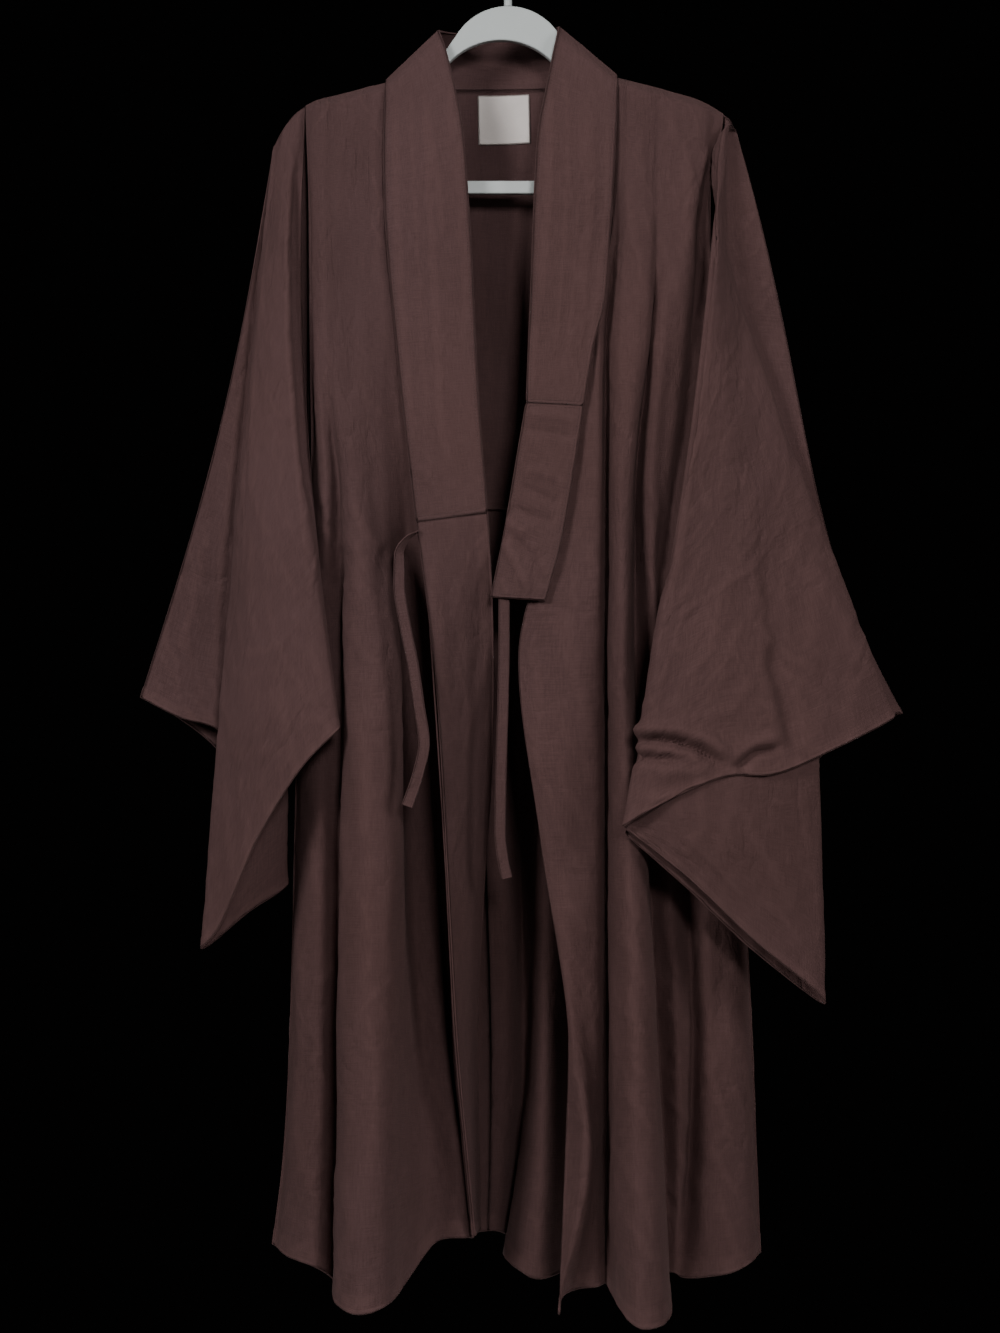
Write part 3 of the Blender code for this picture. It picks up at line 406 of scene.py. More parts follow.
LEFT_CREASES = (
    *ARMHOLE_LEFT,
    Crease(((140, -160), (152, -220), (172, -300), (190, -360)), -1.8, 9, 12),
    Crease(((164, -164), (180, -210), (194, -270)), 1.4, 7, 10),
    Crease(((122, -210), (132, -290), (150, -380), (156, -460)), 1.6, 7, 9),
    Crease(((190, -200), (184, -280), (172, -380)), 1.5, 10, 9),
    Crease(((152, -400), (164, -412), (184, -422)), 0.9, 4, 4),
    Crease(((140, -270), (150, -292), (168, -310)), 0.8, 4, 5),
    Crease(((200, -220), (204, -260), (198, -320)), -1.4, 7, 7),
    Crease(((116, -460), (120, -580), (124, -700), (122, -760)), 0.9, 6, 6),
    Crease(((56, -660), (66, -710), (84, -760), (92, -820)), 1.6, 9, 10, 11, 16),
    Crease(((48, -700), (52, -760), (56, -820)), -1.2, 7, 8, 11, 16),
    Crease(((74, -620), (72, -700), (80, -760)), 1, 8, 8, 11, 16),
    Crease(((48, -850), (60, -890), (84, -940)), 1.2, 6, 7, 11, 16),
    Crease(((52, -800), (66, -850), (90, -890)), 0.9, 5, 7, 11, 16),
    Crease(((60, -940), (72, -970), (92, -990)), 0.9, 5, 6, 11, 16),
    Crease(((54, -920), (56, -960), (64, -1020)), -1, 5, 6, 11, 16),
    Crease(((80, -1000), (90, -1060), (94, -1120)), 1, 6, 6, 11, 16),
    Crease(((66, -1060), (78, -1110), (90, -1160)), 0.9, 5, 5, 11, 16),
    Crease(((86, -1180), (84, -1260), (72, -1340)), 1.2, 5, 5, 12, 16),
    Crease(((124, -920), (130, -960), (144, -990)), 1, 5, 6, 6, 12),
    Crease(((116, -990), (128, -1010), (146, -1026)), 0.9, 4, 5, 6, 12),
    Crease(((118, -1060), (132, -1080), (150, -1100)), 1, 5, 6, 6, 12),
    Crease(((122, -1140), (138, -1170), (156, -1200)), 1, 6, 6, 6, 12),
    Crease(((116, -1200), (130, -1240), (148, -1260)), 1, 6, 6, 6, 12),
    Crease(((124, -1270), (140, -1300), (160, -1330)), 1, 6, 6, 6, 12),
    Crease(((134, -940), (136, -1060), (140, -1180)), 1.2, 9, 9, 6, 12),
    Crease(((168, -960), (164, -980), (170, -1006)), 1.6, 5, 6, 0, 8),
    Crease(((160, -1020), (174, -1040), (188, -1046)), -1.6, 5, 5, 0, 8),
    Crease(((164, -1060), (176, -1080), (190, -1090)), 1.5, 5, 6, 0, 8),
    Crease(((160, -1110), (174, -1126), (190, -1134)), -1.4, 5, 5, 0, 8),
    Crease(((164, -1156), (180, -1170), (192, -1190)), 1.5, 5, 6, 0, 8),
    Crease(((172, -1210), (190, -1230), (202, -1260)), 1.5, 6, 7, 0, 8),
    Crease(((164, -1250), (180, -1280), (190, -1310)), -1.3, 6, 6, 0, 8),
    Crease(((200, -960), (204, -1020), (200, -1080)), 1.5, 7, 8, 0, 6),
    Crease(((216, -980), (220, -1050), (216, -1120)), -1.3, 7, 8, 0, 6),
    Crease(((200, -1120), (216, -1150), (230, -1200)), 1.2, 6, 7, 0, 6),
    Crease(((204, -1200), (222, -1230), (242, -1260)), 1.1, 6, 6, 0, 6),
    Crease(((216, -1260), (228, -1290), (240, -1322)), 1, 7, 7, 0, 6),
)
YOKE_CREASES = (
    Crease(((-24, -260), (-20, -320), (-22, -390)), 1.2, 8, 8),
    Crease(((0, -270), (-4, -360), (4, -460)), -1.2, 8, 8),
    Crease(((16, -260), (14, -360), (18, -480)), 1, 7, 8),
    Crease(((-26, -490), (-14, -510), (-2, -516)), 1, 4, 5),
    Crease(((-30, -530), (-16, -540), (0, -542)), -0.9, 4, 4),
    Crease(((20, -490), (30, -520), (34, -560)), 0.9, 6, 6),
)
COLLAR_CREASES = (
    Crease(((-50, -110), (-30, -120), (0, -124)), 1, 5, 5),
    Crease(((-60, -132), (-30, -138), (10, -140)), -0.9, 5, 5),
    Crease(((20, -100), (36, -116), (48, -130)), 1, 5, 5),
    Crease(((-22, -98), (-16, -120), (-20, -144)), 0.8, 6, 6),
    Crease(((16, -100), (12, -122), (18, -144)), -0.7, 6, 6),
)
BAND_CREASES = (
    Crease(((-113, -152), (-114, -260), (-108, -360), (-98, -480), (-90, -576)), -0.8, 2.5, 3),
    Crease(((-104, -160), (-104, -260), (-98, -380), (-84, -520)), 0.8, 5, 6),
    Crease(((-84, -120), (-80, -240), (-72, -380), (-64, -540)), -0.7, 2.2, 2.4),
    Crease(((-74, -120), (-70, -260), (-62, -420), (-54, -560)), 0.7, 5, 6),
    Crease(((-60, -150), (-52, -260), (-42, -390), (-32, -540)), -0.8, 7, 8),
    Crease(((-70, -190), (-60, -250), (-56, -300)), 0.8, 5, 6),
    Crease(((-76, -440), (-60, -480), (-48, -530)), 0.8, 6, 7),
    Crease(((-40, -360), (-38, -440), (-30, -500)), 0.6, 6, 6),
    Crease(((73, -140), (74, -240), (66, -360), (56, -460)), -0.9, 2.4, 2.6),
    Crease(((100, -150), (100, -260), (90, -360), (81, -450)), -0.8, 2.4, 2.6),
    Crease(((86, -160), (88, -260), (78, -370)), 0.8, 5, 6),
    Crease(((50, -150), (48, -260), (40, -380)), 0.9, 6, 6),
    Crease(((36, -380), (30, -440), (26, -460)), 0.7, 5, 5),
    Crease(((20, -488), (48, -492), (78, -498)), -2, 4, 5),
    Crease(((24, -472), (50, -477), (80, -481)), 1.6, 4, 5),
    Crease(((20, -530), (45, -534), (70, -544)), 1.8, 5, 5),
    Crease(((16, -546), (36, -552), (60, -566)), -1.8, 4, 5),
    Crease(((-1, -579), (12, -586), (27, -595)), 2.8, 5, 6),
    Crease(((8, -565), (30, -575), (56, -582)), -2.2, 5, 5),
    Crease(((1, -597), (16, -625), (30, -654)), 2.8, 5, 6),
    Crease(((12, -594), (30, -616), (46, -650)), -2.3, 6, 6),
    Crease(((0, -638), (4, -646), (8, -656)), 1.2, 3, 3),
    Crease(((14, -634), (17, -644), (19, -656)), 1, 3, 3),
)
STRIP_CREASES = (
    Crease(((-70, -600), (-60, -700), (-50, -820)), 1.2, 9, 9),
    Crease(((-30, -620), (-26, -720), (-30, -820)), -1.2, 9, 9),
    Crease(((-14, -700), (-22, -750), (-30, -780), (-38, -820)), 1.4, 5, 6),
    Crease(((-48, -860), (-38, -940), (-32, -1020)), 1.2, 7, 7),
    Crease(((-28, -1060), (-14, -1110), (-22, -1160)), 1.2, 6, 6),
)
SLEEVE_RIGHT_CREASES = (
    ARMHOLE_RIGHT,
    Crease(((-222, -200), (-232, -290), (-238, -360), (-247, -450), (-256, -550), (-264, -660)),
           2.4, 4, 9, 3, 5.4),
    Crease(((-232, -215), (-240, -300), (-246, -360), (-255, -450), (-265, -550), (-274, -650), (-280, -760)),
           -4, 3.5, 6, 10, 14),
    Crease(((-203, -196), (-205, -290), (-205, -380), (-198, -480), (-188, -600)), -7, 7, 7, -1, 1),
    Crease(((-207, -210), (-213, -300), (-213, -400), (-206, -500), (-192, -640)), 2, 3, 8, 0.6, 4),
    Crease(((-238, -480), (-242, -580), (-250, -680), (-254, -780)), 1.4, 14, 12, -1, 6),
    Crease(((-216, -560), (-200, -650), (-184, -720)), -1.3, 12, 10, -1, 5),
    Crease(((-260, -715), (-230, -710), (-210, -700)), 0.8, 4, 5, -1, 6),
    Crease(((-264, -820), (-238, -808), (-216, -812)), 0.9, 4, 5, -1, 6),
    Crease(((-250, -860), (-238, -840), (-232, -820)), 0.8, 4, 4, -1, 6),
    Crease(((-274, -890), (-260, -910), (-248, -930)), 0.8, 4, 4, -1, 6),
    Crease(((-294, -580), (-304, -660), (-324, -730)), 1.2, 9, 10, 9, 14),
    Crease(((-272, -480), (-286, -580), (-292, -680)), -1.3, 9, 9, 9, 14),
    Crease(((-310, -620), (-318, -670), (-332, -710)), -0.8, 6, 6, 9, 14),
    Crease(((-238, -360), (-254, -420), (-264, -470)), -1, 6, 6, 9, 14),
)
SLEEVE_LEFT_CREASES = (
    *ARMHOLE_LEFT,
    Crease(((120, -794), (150, -789), (180, -791), (208, -799), (226, -813), (234, -828)), 8, 18, 6, 2.6, 8),
    Crease(((128, -802), (155, -800), (178, -803), (198, -810), (213, -819), (224, -831)),
           -13, 4, 6, 2.6, 7.4),
    Crease(((104, -818), (140, -818), (160, -819), (182, -822)), -8, 5, 6, 2.4, 5.6),
    Crease(((150, -812), (170, -812), (190, -816), (204, -824)), 4, 4, 4, 2.6, 7),
    Crease(((150, -832), (172, -830), (192, -830), (210, -834)), 5, 9, 9, 2.6, 7),
    Crease(((140, -862), (165, -857), (190, -852), (212, -845), (230, -836)), 3, 5, 4, 3, 7),
    Crease(((150, -866), (176, -859), (200, -855), (222, -846)), -3.4, 3, 3, 3, 7),
    Crease(((228, -828), (240, -813), (254, -804), (284, -799)), 4, 5, 6, 4.5, 8.5),
    Crease(((234, -832), (246, -821), (256, -813), (282, -809)), -7, 4, 5, 4.5, 8.5),
    Crease(((268, -700), (280, -745), (290, -785), (297, -820)), -6, 8, 9, 5, 10),
    Crease(((162, -789), (190, -780), (222, -772), (245, -764)), 1.4, 9, 4, 3, 8),
    Crease(((266, -590), (268, -635), (274, -680), (282, -720), (290, -760), (297, -810)),
           -3.2, 9, 16, 5, 10),
    Crease(((292, -620), (297, -670), (296, -710)), -1.2, 6, 9, 6, 11),
    Crease(((248, -678), (270, -700), (295, -720), (326, -738)), 1.3, 3, 5, 5, 11),
    Crease(((258, -710), (290, -736), (328, -758)), 1.3, 4, 4, 5, 11),
    Crease(((262, -760), (285, -763), (300, -763)), -1, 3, 3, 5, 11),
    Crease(((164, -686), (200, -664), (235, -638), (265, -624)), 0.9, 3, 4, 3, 8),
    Crease(((220, -656), (216, -680), (206, -715)), 0.8, 4, 4, 3, 8),
    Crease(((182, -740), (204, -720), (222, -700)), 0.8, 3, 4, 3, 8),
    Crease(((216, -560), (235, -548), (252, -538)), 0.8, 3, 4, 3, 8),
    Crease(((190, -530), (196, -560), (206, -580)), -0.8, 5, 5, 3, 8),
    Crease(((200, -290), (192, -390), (190, -490)), 1.6, 14, 10, 3, 7),
    Crease(((222, -265), (229, -300), (244, -350), (262, -410), (280, -470), (300, -540)), -2, 3, 5, 7, 9.2),
    Crease(((228, -360), (242, -460), (252, -560)), -1.2, 14, 14, 3, 9),
    Crease(((312, -620), (340, -680), (368, -740)), 0.9, 8, 8, 7, 12),
)
SLEEVE_BACK_CREASES = (
    Crease(((-270, -360), (-278, -500), (-286, -660), (-288, -820)), 2, 14, 14),
    Crease(((-238, -320), (-244, -480), (-248, -660)), -1.8, 14, 12),
    Crease(((-292, -620), (-304, -700), (-310, -760)), 1, 8, 8),
    Crease(((-260, -700), (-270, -780), (-278, -850)), 1.1, 8, 9),
    Crease(((256, -320), (262, -480), (272, -640), (276, -820)), 2, 14, 14),
    Crease(((276, -360), (296, -520), (322, -680)), -1.6, 12, 12),
    Crease(((270, -680), (300, -740), (330, -780)), 1, 7, 7),
    Crease(((252, -620), (248, -740), (256, -860)), 1.2, 8, 9),
)
BAG_CREASES = (
    Crease(((180, -890), (200, -910), (230, -940), (252, -965)), 1.1, 4, 5, 0, 5),
    Crease(((200, -860), (204, -890), (190, -910)), 0.9, 4, 4, 0, 5),
    Crease(((242, -860), (248, -890), (270, -925), (290, -960)), 1.2, 5, 6, 0, 5),
    Crease(((270, -860), (290, -866), (306, -866)), 0.8, 3, 3, 0, 5),
    Crease(((260, -960), (285, -980), (306, -1010)), 1.2, 5, 5, 0, 5),
    Crease(((140, -892), (170, -906), (200, -918)), 0.9, 4, 4, 0, 5),
    Crease(((290, -850), (300, -920), (312, -1000)), -1, 8, 8, 0, 5),
)

# Cut of each piece: width and length in metres, how it is held, what it hangs from, flat area.
CUTS = {
    "back_right": ((0.33, 1.20), "hung", ["hanger_frame"], 0.30),
    "back_left": ((0.40, 1.20), "hung", ["hanger_frame"], 0.38),
    "front_right": ((0.33, 1.20), "hung", ["hanger_frame"], 0.30),
    "front_left": ((0.38, 1.22), "hung", ["hanger_frame"], 0.36),
    "yoke": ((0.20, 0.42), "hung", ["back_cloth_left"], None),
    "collar": ((0.056, 0.26), "hung", ["hanger_frame"], None),
    "band_right": ((0.08, 0.50), "hung", ["hanger_frame"], None),
    "band_left": ((0.076, 0.39), "hung", ["hanger_frame"], None),
    "band_end": ((0.057, 0.20), "hung", ["collar_cloth_left"], None),
    "strip": ((0.071, 0.73), "hung", ["collar_cloth_right"], None),
    "sleeve_right_front": ((0.38, 0.80), "hung", ["front_cloth_right"], 0.155),
    "sleeve_right_back": ((0.17, 0.74), "hung", ["back_cloth_right"], 0.065),
    "sleeve_left_front": ((0.40, 0.72), "hung", ["front_cloth_left"], 0.16),
    "sleeve_left_back": ((0.17, 0.72), "hung", ["back_cloth_left"], 0.062),
    "sleeve_left_bag": ((0.40, 0.25), "hung", ["sleeve_cloth_left_front"], 0.058),
    "tie_right": ((0.01, 0.29), "hung", ["front_strip_cloth"], None),
    "tie_left": ((0.01, 0.29), "hung", ["collar_end_cloth"], None),
}

LIGHTS = (
    ("key", (-1.8, -2.1, 0.4), (0.0, 0.0, -0.75), 0.8, 54.0),
    ("fill", (2.2, -1.7, 0.1), (0.0, 0.0, -0.8), 0.8, 24.0),
    ("front", (0.5, -2.9, 0.2), (0.0, 0.0, -0.75), 0.5, 36.0),
    ("back", (-0.5, 2.8, 0.1), (0.0, 0.0, -0.75), 0.8, 60.0),
    ("above", (0.0, -0.5, 1.6), (0.0, 0.0, -0.6), 1.0, 6.0),
)

# Hanger: half depth, edge rounding, arch, bar and hook, in millimetres.
HANGER_HALF = 4.2
HANGER_ROUND = 1.2
ARCH_CENTRE = (8, -127.5)
ARCH_OUTER = 60.5
ARCH_INNER = (1, -172, 71)
BAR_Z = (-241.5, -255.5)
HOOK_INNER = 16
HOOK_WIRE = 3
# How much thicker the hook is at its root.
HOOK_ROOT = 1.35


class Wave(NamedTuple):
    """A layer of crumple: sizes in millimetres of its cells across and down, the two slants
    that lean them, its pattern, its height, and the power that narrows it to ridges."""

    across: float
    slant: float
    down: float
    lean: float
    pattern: int
    height: float
    power: int = 0


NO_SLANT = float("inf")
SOFT_WAVE = Wave(26, NO_SLANT, 85, NO_SLANT, 0, 1.1)
PATCHES = Wave(60, NO_SLANT, 90, NO_SLANT, 21, 1.0)
DENTS = (Wave(11, 50, 30, NO_SLANT, 7, 0.55), Wave(7, -28, 13, NO_SLANT, 9, 0.3),
         Wave(30, 52, 60, -70, 40, 1.3, 7), Wave(24, -64, 46, 60, 50, -1.04, 8))
# Rows crowd towards the top of a body panel and of a sleeve by these powers.
BODY_CROWDING = 1.3
SLEEVE_CROWDING = 1.15
# A body row just under the ridge lies these shares of the way, in x and in y, to the next one.
RIDGE_X_SHARE = 0.03
RIDGE_Y_SHARE = 0.7
# Crumple is least outside its patches; relief fades towards a piece's edges over these lengths.
CALM_SHARE = 0.35
CRUMPLE_FADE = 8.0
CREASE_FADE = 4.0
# Puckers: length of one and reach from the edge. Hems: slope at the turn and extra thickness.
PUCKER_LENGTH = 9.0
HEM_SLOPE = 0.0012
HEM_EXTRA = 0.55
# A wall pressed into its seam: how far in it thins, and by what share.
JOIN_REACH = 0.0024
JOIN_THINNING = 0.62
# Wear, and a painted highlight on hems: how the wear grows with a crease's bend, and its shares on creases
# and on hems, where the share also paints the light a hem catches.
WEAR_BEND = 3.0
WEAR_CREASE = 0.6
HEM_WEAR_AND_HIGHLIGHT = 0.4
# Stitches: rise over the wall's face, and how far inside a body hem's turn they run.
STITCH_RISE = 1.1
STITCH_INSET = 0.002
# Reach over which the label takes up the yoke's depth.
LABEL_SPREAD = 0.004


def fan(x: np.ndarray, z: np.ndarray, y: np.ndarray) -> np.ndarray:
    """Carry points in millimetres on the hanger's plane to their depth, in metres.

    A point y behind the plane lies wider about (0, MIDDLE_Z) by the share y / FAN_REACH.

    Args:
        x, z, y: coordinates in millimetres, arrays of one shape.

    Returns:
        Points with a last axis of x, y, z in metres.
    """
    x, z, y = (np.asarray(v, float) * MM for v in (x, z, y))
    spread = 1 + y / FAN_REACH
    return np.stack([x * spread, y, MIDDLE_Z + (z - MIDDLE_Z) * spread], axis=-1)


def unfan(points: np.ndarray) -> tuple[np.ndarray, np.ndarray]:
    """x and z in millimetres on the hanger's plane of points in metres: fan() taken back."""
    spread = 1 + points[..., 1] / FAN_REACH
    return points[..., 0] / spread / MM, (MIDDLE_Z + (points[..., 2] - MIDDLE_Z) / spread) / MM


def smooth(at: np.ndarray, known_at: Sequence, known: Sequence) -> np.ndarray:
    """Cubic curve through known values whose slopes are harmonic means, so it never overshoots.

    Args:
        at: places where values are wanted.
        known_at: rising places where values are known.
        known: the values, one row for each place.

    Returns:
        Values at `at`.
    """
    known_at, known = np.asarray(known_at, float), np.asarray(known, float)
    gap = np.diff(known_at)
    shape = (-1,) + (1,) * (known.ndim - 1)
    rise = np.diff(known, axis=0) / gap.reshape(shape)
    slope = np.zeros_like(known)
    slope[0], slope[-1] = rise[0], rise[-1]
    same = rise[1:] * rise[:-1] > 0
    slope[1:-1] = np.where(same, 2 * rise[1:] * rise[:-1] / np.where(same, rise[1:] + rise[:-1], 1), 0)
    i = np.clip(np.searchsorted(known_at, at, side="right") - 1, 0, len(gap) - 1)
    t, h = ((at - known_at[i]) / gap[i]).reshape(shape), gap[i].reshape(shape)
    return (known[i] * (1 + 2 * t) * (1 - t) ** 2 + slope[i] * h * t * (1 - t) ** 2
            + known[i + 1] * t * t * (3 - 2 * t) + slope[i + 1] * h * t * t * (t - 1))


def across(lines: np.ndarray, steps: int) -> np.ndarray:
    """Spread fold lines into a surface by a centripetal spline over each row.

    Args:
        lines: fold lines, (rows, folds, 3).
        steps: faces between one fold line and the next.

    Returns:
        Surface points, (rows, columns, 3).
    """
    before, after = 2 * lines[:, :1] - lines[:, 1:2], 2 * lines[:, -1:] - lines[:, -2:-1]
    padded = np.concatenate([before, lines, after], axis=1)
    span = (np.linalg.norm(np.diff(padded, axis=1), axis=2) ** 0.5 + 1e-6)[:, :, None, None]
    p0, p1, p2, p3 = (padded[:, k:padded.shape[1] - 3 + k, None] for k in range(4))
    a, b, c = span[:, :-2], span[:, 1:-1], span[:, 2:]
    m1 = b * ((p1 - p0) / a - (p2 - p0) / (a + b) + (p2 - p1) / b)
    m2 = b * ((p2 - p1) / b - (p3 - p1) / (b + c) + (p3 - p2) / c)
    t = (np.arange(steps) / steps)[:, None]
    spread = (p1 * (1 + 2 * t) * (1 - t) ** 2 + m1 * t * (1 - t) ** 2
              + p2 * t * t * (3 - 2 * t) + m2 * t * t * (t - 1))
    return np.concatenate([spread.reshape(len(lines), -1, 3), lines[:, -1:]], axis=1)


def body_lines(folds: Sequence[Fold], rows: int) -> np.ndarray:
    """Fold lines of a body panel, (rows, folds, 3): each runs smoothly through its table row."""
    level = np.array([0, 0.25] + list(range(1, len(LEVELS) + 2)), float)
    upper = rows // 4
    at = np.concatenate([np.linspace(0, 1, upper)[:-1] ** BODY_CROWDING,
                         np.linspace(1, level[-1], rows - upper + 1)])
    top_x, top_z = np.array(TOP_LINE, float).T
    x, y, hem = (np.array([getattr(fold, part) for fold in folds], float) for part in ("x", "y", "hem"))
    top = np.interp(x[:, 0], top_x, top_z)
    levels = np.tile(np.array(LEVELS, float), (len(folds), 1))
    z = np.column_stack([top, top - RIDGE_REACH, levels, hem])
    x = np.insert(x, 1, x[:, 0] * (1 - RIDGE_X_SHARE) + x[:, 1] * RIDGE_X_SHARE, axis=1)
    y = np.insert(y, 1, y[:, 0] * (1 - RIDGE_Y_SHARE) + y[:, 1] * RIDGE_Y_SHARE, axis=1)
    return fan(*(smooth(at, level, part.T) for part in (x, z, y)))


def fall_lines(falls: Sequence[Fall], rows: int, pull: Sequence[tuple] = ()) -> np.ndarray:
    """Fold lines of a sleeve, (rows, folds, 3): straight falls that bow out by half a sine.

    Args:
        falls: the table's rows.
        rows: rows of the grid.
        pull: pull of the last fold to the body's side seam; empty where there is none.

    Returns:
        The lines.
    """
    v = (np.linspace(0, 1, rows) ** SLEEVE_CROWDING)[:, None]
    f = np.array([fall[1:] for fall in falls], float).T
    bow = np.sin(np.pi * v ** f[8])
    x, y = f[0] + (f[3] - f[0]) * v + f[6] * bow, f[2] + (f[5] - f[2]) * v + f[7] * bow
    if pull:
        at, in_x, in_y = np.array(pull, float).T
        x[:, -1] += smooth(v[:, 0], at, in_x)
        y[:, -1] += smooth(v[:, 0], at, in_y)
    return fan(x, f[1] + (f[4] - f[1]) * v, y)


def strip_lines(stations: Sequence[Station], rows: int, columns: int, belly: float) -> np.ndarray:
    """Strip between two long edges, (rows, columns, 3), its middle bowed forwards by belly mm."""
    s = np.array(stations, float)
    s = smooth(np.linspace(0, len(s) - 1, rows), np.arange(len(s)), s)[:, :, None]
    u = np.linspace(0, 1, columns)
    x, z, y = (s[:, k] * (1 - u) + s[:, k + 3] * u for k in range(3))
    return fan(x, z, y - belly * np.sin(np.pi * u))


def unit(vectors: np.ndarray) -> np.ndarray:
    """Vectors scaled to length one."""
    return vectors / np.maximum(np.linalg.norm(vectors, axis=-1, keepdims=True), 1e-12)


def normals(grid: np.ndarray) -> np.ndarray:
    """Unit normals of a surface: its way across crossed with its way down."""
    return unit(np.cross(np.gradient(grid, axis=1), np.gradient(grid, axis=0)))


def outward(grid: np.ndarray, way: "Way") -> np.ndarray:
    """Unit normals of a surface, turned so that its middle looks the given way."""
    normal = normals(grid)
    return -normal if (normal[..., 1].mean() > 0) == (way is Way.FRONT) else normal


def run_length(grid: np.ndarray, axis: int) -> np.ndarray:
    """Distance along the cloth from the first row or column, in metres, (rows, columns)."""
    steps = np.linalg.norm(np.diff(grid, axis=axis), axis=2)
    pad = ((1, 0), (0, 0)) if axis == 0 else ((0, 0), (1, 0))
    return np.pad(np.cumsum(steps, axis=axis), pad)


def lattice_noise(x: np.ndarray, y: np.ndarray, seed: int) -> np.ndarray:
    """Soft noise of about -1 to 1: values fixed to a whole-number lattice, blended by a quintic.

    Args:
        x, y: coordinates in cells.
        seed: choice of pattern.

    Returns:
        Noise, the shape of x.
    """
    xi, yi = np.floor(x).astype(int), np.floor(y).astype(int)
    fx, fy = x - xi, y - yi
    fx, fy = (f * f * f * (f * (f * 6 - 15) + 10) for f in (fx, fy))

    def corner(i: np.ndarray, j: np.ndarray) -> np.ndarray:
        """Fixed value of one lattice corner, from a sine hash."""
        h = np.sin(i * 127.1 + j * 311.7 + seed * 74.7) * 43758.5453
        return 2 * (h - np.floor(h)) - 1

    low = corner(xi, yi) * (1 - fx) + corner(xi + 1, yi) * fx
    high = corner(xi, yi + 1) * (1 - fx) + corner(xi + 1, yi + 1) * fx
    return low * (1 - fy) + high * fy


def crease_relief(x: np.ndarray, z: np.ndarray, place: np.ndarray, creases: Sequence[Crease]) -> np.ndarray:
    """Height of all creases over a surface, in millimetres.

    A crease is a bell of its own half width on each side of its path, fades over its last
    fifth at both ends, and acts only between its two fold lines.

    Args:
        x, z: the surface's millimetres on the hanger's plane.
        place: the number of the fold line at each column.
        creases: the table.

    Returns:
        Relief, the shape of x.
    """
    relief = np.zeros_like(x)
    for crease in creases:
        path = np.array(crease.path, float)
        start, step = path[:-1], np.diff(path, axis=0)
        length = np.linalg.norm(step, axis=1)
        before = np.concatenate([[0], np.cumsum(length)])
        rel = np.stack([x, z], axis=-1)[..., None, :] - start
        t = np.clip((rel * step).sum(-1) / length ** 2, 0, 1)
        away = rel - t[..., None] * step
        far = np.linalg.norm(away, axis=-1)
        k = far.argmin(axis=-1)[..., None]
        dist = np.take_along_axis(far, k, -1)[..., 0]
        side = np.take_along_axis((rel * np.stack([-step[:, 1], step[:, 0]], -1)).sum(-1), k, -1)[..., 0]
        along = (np.take_along_axis(t * length + before[:-1], k, -1)[..., 0]) / before[-1]
        width = np.where(side > 0, crease.right, crease.left)
        fade = np.clip(np.minimum(along, 1 - along) / 0.2, 0, 1)
        on = np.clip(place - crease.first + 0.5, 0, 1) * np.clip(crease.last - place + 0.5, 0, 1)
        relief += crease.height * np.exp(-(dist / width) ** 2) * fade * fade * (3 - 2 * fade) * on
    return relief


class Way(Enum):
    """Which way the outer face of a piece looks at its middle."""

    FRONT = -1
    BACK = 1


